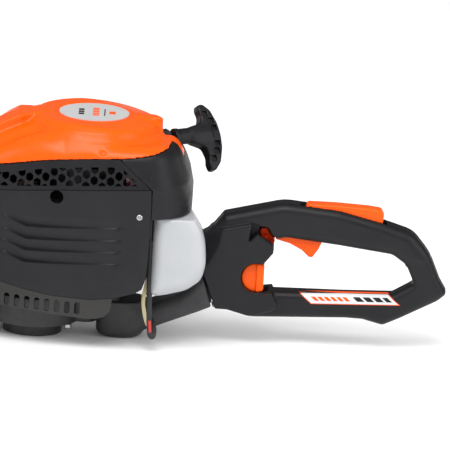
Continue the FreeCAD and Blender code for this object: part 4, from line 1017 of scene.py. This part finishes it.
def lever_field(x, y, z):
    away = np.hypot(x - LEVER_MIDDLE[0], z - LEVER_MIDDLE[1])
    disc = meet(away - 15.9, np.abs(y + 3.5) - 10.5, 1.2)
    column = meet(away - 16.2, np.maximum(np.abs(y + 4.2) - 12.2, 188.6 - x), 1.6)
    solid = meet(join(disc, column, 3.0), x - 196.6, 1.5)
    link = meet(np.abs(x - 182) - 5, np.maximum(np.abs(y) - 4, np.abs(z - 57) - 8), 0.8)
    return join(solid, link, 1.0)


solid_from_field("swivel_lever_form", lever_field, (170, -18, 47), (199, 11, 96), 0.8, "orange_gloss",
                 "lock_lever", ("swivel_lock_lever",))


def swivel_spot(along, lift):
    return (SWIVEL_CENTRE[0] + along * math.cos(SWIVEL) - lift * math.sin(SWIVEL), 0,
            SWIVEL_CENTRE[2] + along * math.sin(SWIVEL) + lift * math.cos(SWIVEL))


sweep_tube("swivel_lock_pin", [swivel_spot(along, -18.5) for along in (-0.6, 0.6, 22, 43)], 3.0, "heat_steel",
           "lock_lever")

fastener_parts = []
for pin_x, pin_z, pin_radius in CONTROL_PINS:
    fastener_parts.append(turned(
        [(pin_radius - 0.3, -7.7), (pin_radius, -7.4), (pin_radius, 7.4), (pin_radius - 0.3, 7.7)],
        (pin_x, pin_z)))
for screw_x, screw_z, top in HANDLE_SCREWS:
    seat = top - SCREW_SEAT
    fastener_parts.append(turned(
        [(0.6, -9), (1.9, -7.6), (1.9, seat), (3.7, seat), (3.8, seat + 1.9), (3.3, seat + 2.4),
         (1.7, seat + 2.4),
         (1.5, seat + 0.8), (0.2, seat + 0.6)], (screw_x, screw_z)))
fastener_points, fastener_faces = merged(fastener_parts)
new_object("handle_fasteners_form", fastener_points, fastener_faces, "bright_steel", "rear_handle",
           ("handle_fasteners",), 40)

LABEL = [(236.0, 62.2), (334.2, 65.8), (348.2, 54.6), (250.2, 50.6)]


def label_spot(u, v):
    """Place on the label: u along it and v up it, both from 0 to 1."""
    corners = np.array(LABEL)
    top = corners[0] + (corners[1] - corners[0]) * u
    foot = corners[3] + (corners[2] - corners[3]) * u
    return foot + (top - foot) * v


def label_sheet(name, u_start, u_end, v_start, v_end, lift, slot, stands_for=()):
    """Thin sheet that lies on the near side of the lower bar and follows its rounding."""
    columns, rows = max(2, int(60 * (u_end - u_start))), max(3, int(12 * (v_end - v_start)))
    spots = np.array([[label_spot(u, v) for u in np.linspace(u_start, u_end, columns + 1)]
                      for v in np.linspace(v_start, v_end, rows + 1)]).reshape(-1, 2)
    outer, inner = np.full(len(spots), -20.0), np.full(len(spots), -3.0)
    for _ in range(30):
        middle = (outer + inner) / 2
        solid = handle_field(spots[:, 0], middle, spots[:, 1]) < 0
        inner, outer = np.where(solid, middle, inner), np.where(solid, outer, middle)
    layers = [np.stack([spots[:, 0], outer + shift, spots[:, 1]], axis=1) for shift in (-lift, 0.25)]
    wide = columns + 1
    starts = [row * wide + column for row in range(rows) for column in range(columns)]
    faces = thickened([[first, first + 1, first + wide + 1, first + wide] for first in starts], len(spots))
    new_object(name, np.concatenate(layers), faces, slot, "rear_handle", stands_for, 40)


label_sheet("label_edge", 0, 1, 0, 1, 0.2, "signal_orange", ("handle_label",))
label_sheet("label_face", 0.012, 0.988, 0.07, 0.93, 0.42, "label_white")
for number, start in enumerate((0.09, 0.16, 0.23, 0.30, 0.37, 0.44)):
    label_sheet(f"label_mark_{number}", start, start + 0.045, 0.32, 0.68, 0.54, "orange_gloss")
for number, (start, end) in enumerate(((0.56, 0.64), (0.67, 0.75), (0.78, 0.86), (0.89, 0.95))):
    label_sheet(f"label_block_{number}", start, end, 0.3, 0.7, 0.54, "black_plastic")


# ---------------------------------------------------------------- starter grip, grommet and rope

BAR_TILT = math.radians(32)
BAR_WAY = np.array([ROPE_WAY[1] * math.sin(BAR_TILT), -ROPE_WAY[0] * math.sin(BAR_TILT), -math.cos(BAR_TILT)])
BAR_ACROSS = np.cross(ROPE_WAY, BAR_WAY)
BAR_MIDDLE = rope_spot(125) + BAR_WAY * 4


def bar_frame(x, y, z):
    """Coordinates in the grip bar: outwards along the rope, along the bar and across it."""
    away = (x - BAR_MIDDLE[0], y - BAR_MIDDLE[1], z - BAR_MIDDLE[2])
    return tuple(sum(part * way for part, way in zip(away, axis)) for axis in (ROPE_WAY, BAR_WAY, BAR_ACROSS))


BAR_FACE = polygon_field(rounded([
    (-8, -37, 3.5), (-1.5, -37.5, 4), (6, -30, 12), (11, -14, 24), (12.2, 0, 40), (11, 14, 24), (6, 30, 12),
    (-1.5, 38.5, 4), (-8, 38, 3.5), (-8.8, 30, 6), (-6.8, 22, 10), (-9.5, 11, 6), (-24, 4, 6), (-24, -12, 6),
    (-9.5, -16, 6), (-6.8, -24, 10), (-8.8, -31, 6)]))
# Pockets in the bar's two faces: (distance out, half width, start, end along the bar).
POCKET_SPANS = (
    (5.6, 3.3, 5.5, 11.5), (3.2, 3.8, 13.5, 20.0), (-2.2, 3.2, 22.0, 28.5),
    (5.6, 3.3, -12.5, -6.5), (3.2, 3.8, -21.0, -14.5), (-2.2, 3.2, -29.5, -23.0))
BAR_POCKETS = [
    polygon_field(rounded([(out - wide, start, 1.2), (out + wide, start, 1.2), (out + wide, end, 1.2),
                           (out - wide, end, 1.2)]))
    for out, wide, start, end in POCKET_SPANS]


def pull_field(x, y, z):
    outward, along, across = bar_frame(x, y, z)
    thick = 8.0 - 0.0016 * along ** 2
    solid = meet(BAR_FACE(outward, along), np.abs(across) - thick, 2.2)
    pockets = BAR_POCKETS[0](outward, along)
    for pocket in BAR_POCKETS[1:]:
        pockets = np.minimum(pockets, pocket(outward, along))
    solid = carve(solid, np.maximum(pockets, 3.2 - np.abs(across)), 0.5)
    ring = np.hypot(along + 4.0, across)
    stem = np.maximum(ring - 8.4 - 0.03 * np.clip(outward + 44, 0, 44), np.maximum(outward, -outward - 43.8))
    collar = np.maximum(ring - 9.4, np.abs(outward + 41) - 2.6)
    solid = join(join(solid, stem, 4.0), collar, 1.0)
    channel = np.maximum(ring - 2.45, outward + 8)
    return np.maximum(solid, -channel)


bar_reach = np.array([24, 24, 46])
bar_low = np.minimum(BAR_MIDDLE - bar_reach, rope_spot(84) - 12)
bar_high = np.maximum(BAR_MIDDLE + bar_reach, rope_spot(84) + 12)
solid_from_field("pull_handle_form", pull_field, bar_low, bar_high, 1.0, "black_plastic", "pull",
                 ("pull_handle",))


def grommet_field(x, y, z):
    along, across = rope_frame(x, y)
    ring = np.hypot(across, z - ROPE_Z)
    sleeve = meet(ring - 6.0, np.abs(along - 69) - 8, 0.6)
    cup = meet(ring - 8.6 - 0.14 * np.clip(76 - along, 0, 12), np.abs(along - 70) - 6, 1.4)
    rib = meet(ring - 10.2, np.abs(along - 72.2) - 0.8, 0.5)
    solid = join(join(sleeve, cup, 0.8), rib, 0.6)
    mouth = 2.45 + 0.8 * np.maximum(0, along - 74)
    return np.maximum(solid, mouth - ring)


solid_from_field("rope_grommet_form", grommet_field, rope_spot(69) - (18, 18, 13),
                 rope_spot(69) + (18, 18, 13), 0.8, "rubber", "engine", ("rope_grommet",))

rope_length = np.arange(6.0, 117.0, 0.8)
rope_angles = np.arange(20) * 2 * math.pi / 20
twist = rope_length[:, None] * 0.9
strands = np.abs(np.sin(2 * rope_angles - twist)) + np.abs(np.sin(2 * rope_angles + twist))
rope_line = ROPE_START + ROPE_WAY * rope_length[:, None]
rope = new_object("starter_rope_form", tube_points(rope_line, 1.5 + 0.18 * strands, 20),
                  ring_faces(len(rope_line), 20), "rubber", None, ("starter_rope",), 50)
tuple(place(rope_spot(8)))
tuple(place(rope_spot(112)))
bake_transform(rope)

# ---------------------------------------------------------------- fuel tank and filler neck

TANK_SIDE = [
    (80, 63.5, 10), (92, 66, 14), (112, 72, 24), (128, 84, 24), (134.5, 104, 30), (133, 124, 30),
    (128.5, 141, 12), (122, 152, 8), (114, 162, 4), (96, 162, 4), (71.8, 160, 4), (71.8, 66, 6),
]
# How far back the tank reaches at each height on its near side.
TANK_LIMIT = np.array([(100, 135.5), (110, 134.5), (124, 133), (134, 131), (144, 127.5), (152, 123),
                       (160, 118),
                       (170, 111), (300, 90)], float)
tank_side = polygon_field(rounded(TANK_SIDE, 6))


FILLER_X, FILLER_Z = 93, 108


def tank_field(x, y, z):
    body = meet(tank_side(x, z), np.abs(y) - 79.8, 13.0)
    seen = z + 0.2587 * (y + 80)
    body = meet(body, (x - table(TANK_LIMIT, seen)) * 0.85, 8.0)
    body = np.maximum(body, np.minimum(z - 153, envelope(x, y, z) + WALL + 0.6))
    recess = np.maximum(112.5 - x, np.abs(y) - 33)
    sweep = np.maximum(swivel_away(x, y, z) - 70.5, 6.0 - swivel_along(x, z))
    body = carve(body, np.minimum(recess, sweep), 3.0)
    neck = meet(np.hypot(x - FILLER_X, z - FILLER_Z) - 15.8, np.maximum(60 - y, y - 87.8), 1.5)
    body = join(body, neck, 4.0)
    hollow = np.maximum(np.hypot(x - FILLER_X, z - FILLER_Z) - 11.0, 60 - y)
    return np.maximum(body, -hollow)


solid_from_field("fuel_tank_form", tank_field, (70, -83, 61), (138, 90, 162), 1.7, "tank_white", "engine",
                 ("fuel_tank",))

# ---------------------------------------------------------------- rear arm and post

# Stations of the arm: (x, middle z, half width, half height).
ARM_LINE = [(46, 21, 21, 16.5), (74, 26, 22, 13.8), (104, 38.6, 22.5, 14.3), (126.5, 54.4, 23.5, 21),
            (145, 67, 23.5, 25)]


def bracket_field(x, y, z):
    share = np.clip((x - 46) / (126.5 - 46), 0, 1)
    stations = np.array(ARM_LINE)
    middle = np.interp(x, stations[:, 0], stations[:, 1])
    half_y = np.interp(x, stations[:, 0], stations[:, 2])
    half_z = np.interp(x, stations[:, 0], stations[:, 3])
    arm = meet((np.abs(z - middle) - half_z) * 0.93, np.abs(y) - half_y, 5.0 + 9 * share)
    arm = meet(meet(arm, 44 - x, 2.0), swivel_along(x, z) + 0.8, 0.6)
    arm = np.maximum(arm, -np.maximum(swivel_away(x, y, z) - 21.6, -2.4 - swivel_along(x, z)))
    oval = ((np.abs(x - 41) / 26.5) ** 2.6 + (np.abs(y) / 24.5) ** 2.6) ** (1 / 2.6)
    post = meet((oval - 1) * 24, z - 42, 2.0)
    post = meet(post, -z, 9.0)
    away, along = swivel_away(x, y, z), swivel_along(x, z)
    spigot = np.maximum(away - 12, np.abs(along - 6) - 10)
    flange = np.maximum(away - 15, np.abs(along - 16.2) - 2)
    solid = np.minimum(join(arm, post, 6.0), np.minimum(spigot, flange))
    solid = carve(solid, np.hypot(x, y) - 16.2, 0.5)
    return np.maximum(solid, np.minimum(5 - away, along + 20))


def index_plate_field(x, y, z):
    away, along, up = swivel_away(x, y, z), swivel_along(x, z), swivel_lift(x, z)
    plate = meet(away - 21.2, np.abs(along + 1.2) - 1.0, 0.3)
    sweep = np.maximum(np.abs(away - 18.5) - 3.1, up)
    pockets = np.hypot(np.abs(y) - 18.5, up) - 3.1
    return np.maximum(np.maximum(plate, 12.05 - away), -np.minimum(sweep, pockets))


# ---------------------------------------------------------------- cover screws

for hand, side in (("left", -1), ("right", 1)):
    def screw_field(x, y, z, side=side):
        out = side * y - 92.5
        ring = np.hypot(x - SCREW_X, z - SCREW_Z)
        head = np.maximum(np.sqrt(ring ** 2 + (out + 2.6) ** 2) - 4.6, -out - 0.2)
        flank = meet(head, ring - 3.6, 0.4)
        cross = np.maximum(np.minimum(np.abs(x - SCREW_X), np.abs(z - SCREW_Z)) - 0.45, 0.9 - out)
        shank = np.maximum(ring - 1.6, np.abs(out + 5) - 5.4)
        return np.minimum(np.maximum(flank, -np.maximum(cross, ring - 2.5)), shank)

    middle_y = side * 88
    solid_from_field(f"{hand}_cover_screw", screw_field, (52, middle_y - 8, 152), (61.5, middle_y + 8, 162),
                     0.3,
                     "chrome_screw", "engine", ("cover_screws",))

# ---------------------------------------------------------------- badge graphics


def badge_bar(name, start_x, end_x, start_y, end_y, slot):
    points = [(x, y, z) for z in (BADGE_TOP, BADGE_TOP + 0.2) for x, y in
              ((start_x, start_y), (end_x, start_y), (end_x, end_y), (start_x, end_y))]
    faces = [(3, 2, 1, 0), (4, 5, 6, 7)] + [(k, (k + 1) % 4, (k + 1) % 4 + 4, k + 4) for k in range(4)]
    made = new_object(name, points, faces, slot, "engine", (), 30)
    bevel = made.modifiers.new("edge", "BEVEL")
    bevel.width = 0.00008
    bevel.segments = 2


BADGE_MARKS = [(-17, -11, -14, -7.5), (-17, -11, -4.5, 2), (-17, -11, 5, 11.5)]
for number, (x0, x1, y0, y1) in enumerate(BADGE_MARKS):
    badge_bar(f"badge_block_{number}", x0, x1, y0, y1, "black_plastic")
for number, y0 in enumerate((-17, -9.5, -2, 5.5, 13)):
    badge_bar(f"badge_mark_{number}", -1.5, 5.5, y0, y0 + 5, "orange_gloss")
badge_bar("badge_rule", 11, 12.2, -16, 14, "black_plastic")
badge_bar("badge_tab", 16.5, 23.5, -7, 5, "orange_gloss")

# ---------------------------------------------------------------- rear arm, hose, conduit and wire

solid_from_field("rear_bracket_form", bracket_field, (12, -27, -2), (156, 27, 84), 1.3, "black_cast",
                 "engine",
                 ("rear_bracket",))
solid_from_field("swivel_index_plate_form", index_plate_field, (124, -23, 34), (146, 23, 80), 0.9,
                 "black_cast",
                 "engine", ("swivel_index_plate",))

sweep_tube("fuel_hose_form",
           [(74.5, -52, 92), (68.5, -60, 77), (65.2, -62, 56), (67.5, -61, 42), (71, -58, 29),
                              (76, -50, 20)], 2.2, "hose_cream", "engine", ("fuel_hose",))
sweep_tube("control_conduit_form", [
    (70.2, -70, 127), (70.6, -70, 108), (71.5, -71, 80), (73, -73, 48), (74, -73, 30), (75.4, -73, 19.5),
    (77.8, -72.4, 17.5), (79.6, -70.5, 20), (79, -62, 27), (75, -42, 30), (71, -27, 29)],
    3.0, "rubber", "engine", ("control_conduit",))
sweep_tube("stop_wire_form", [(73.8, -75.5, 37), (74.6, -75.8, 31), (75.3, -75.5, 24)], 1.6, "signal_red",
           "engine", ("stop_wire",))

# ---------------------------------------------------------------- light, floor and camera


def area_light(name, spot, aim, size, power, tint=(1, 1, 1)):
    light = bpy.data.lights.new(name, "AREA")
    light.shape = "RECTANGLE"
    light.size, light.size_y = size
    light.energy = power
    light.color = tint
    holder = bpy.data.objects.new(name, light)
    bpy.context.scene.collection.objects.link(holder)
    holder.location = spot
    direction = Vector(aim) - Vector(spot)
    holder.rotation_euler = direction.to_track_quat("-Z", "Y").to_euler()


def studio():
    scene = bpy.context.scene
    world = bpy.data.worlds.new("studio")
    scene.world = world
    world.use_nodes = True
    world.node_tree.nodes["Background"].inputs["Color"].default_value = (1, 1, 1, 1)
    tree = world.node_tree
    path = tree.nodes.new("ShaderNodeLightPath")
    strength = tree.nodes.new("ShaderNodeMapRange")
    strength.inputs["To Min"].default_value = 0.95
    strength.inputs["To Max"].default_value = 0.14
    tree.links.new(path.outputs["Is Glossy Ray"], strength.inputs["Value"])
    tree.links.new(strength.outputs["Result"], tree.nodes["Background"].inputs["Strength"])
    mesh = bpy.data.meshes.new("floor")
    half = 30.0
    corners = [(-half, -half, 0), (half, -half, 0), (half, half, 0), (-half, half, 0)]
    mesh.from_pydata(corners, [], [(0, 1, 2, 3)])
    floor = bpy.data.objects.new("floor", mesh)
    scene.collection.objects.link(floor)
    shader = Shader("floor_paper")
    shader.feed("Base Color", shader.colours(shader.noise(3), (0.90, 0.90, 0.90), (0.93, 0.93, 0.93)))
    shader.surface.inputs["Roughness"].default_value = 0.9
    mesh.materials.append(shader.material)
    area_light("key", (0.0, -1.2, 1.9), (0.1, 0, 0.1), (1.6, 0.9), 34)
    area_light("rear_fill", (1.8, -0.8, 0.9), (0.2, 0, 0.1), (0.8, 1.2), 10)
    area_light("front_fill", (-1.8, -1.0, 1.1), (0.0, 0, 0.1), (0.8, 1.2), 9)


def camera():
    """A long lens looking at the operator's left side, 14.5 degrees down and rolled by 3.4 degrees."""
    elevation = math.radians(14.5)
    roll = math.radians(3.4)
    distance = 15.0
    seen_width = 0.495
    target = Vector((CRANK_X / 1000 + 0.1505, 0, 0.1306))
    forward = Vector((0, math.cos(elevation), -math.sin(elevation)))
    level = Vector((1, 0, 0))
    upright = Vector((0, math.sin(elevation), math.cos(elevation)))
    right = level * math.cos(roll) + upright * math.sin(roll)
    up = upright * math.cos(roll) - level * math.sin(roll)
    data = bpy.data.cameras.new("camera")
    data.sensor_width = 36
    data.lens = 36 * distance / seen_width
    data.clip_end = 50
    holder = bpy.data.objects.new("camera", data)
    bpy.context.scene.collection.objects.link(holder)
    turn = Matrix((right, up, -forward)).transposed().to_4x4()
    holder.matrix_world = Matrix.Translation(target - forward * distance) @ turn
    bpy.context.scene.camera = holder


bpy.context.scene.view_settings.view_transform = "Standard"
studio()
camera()
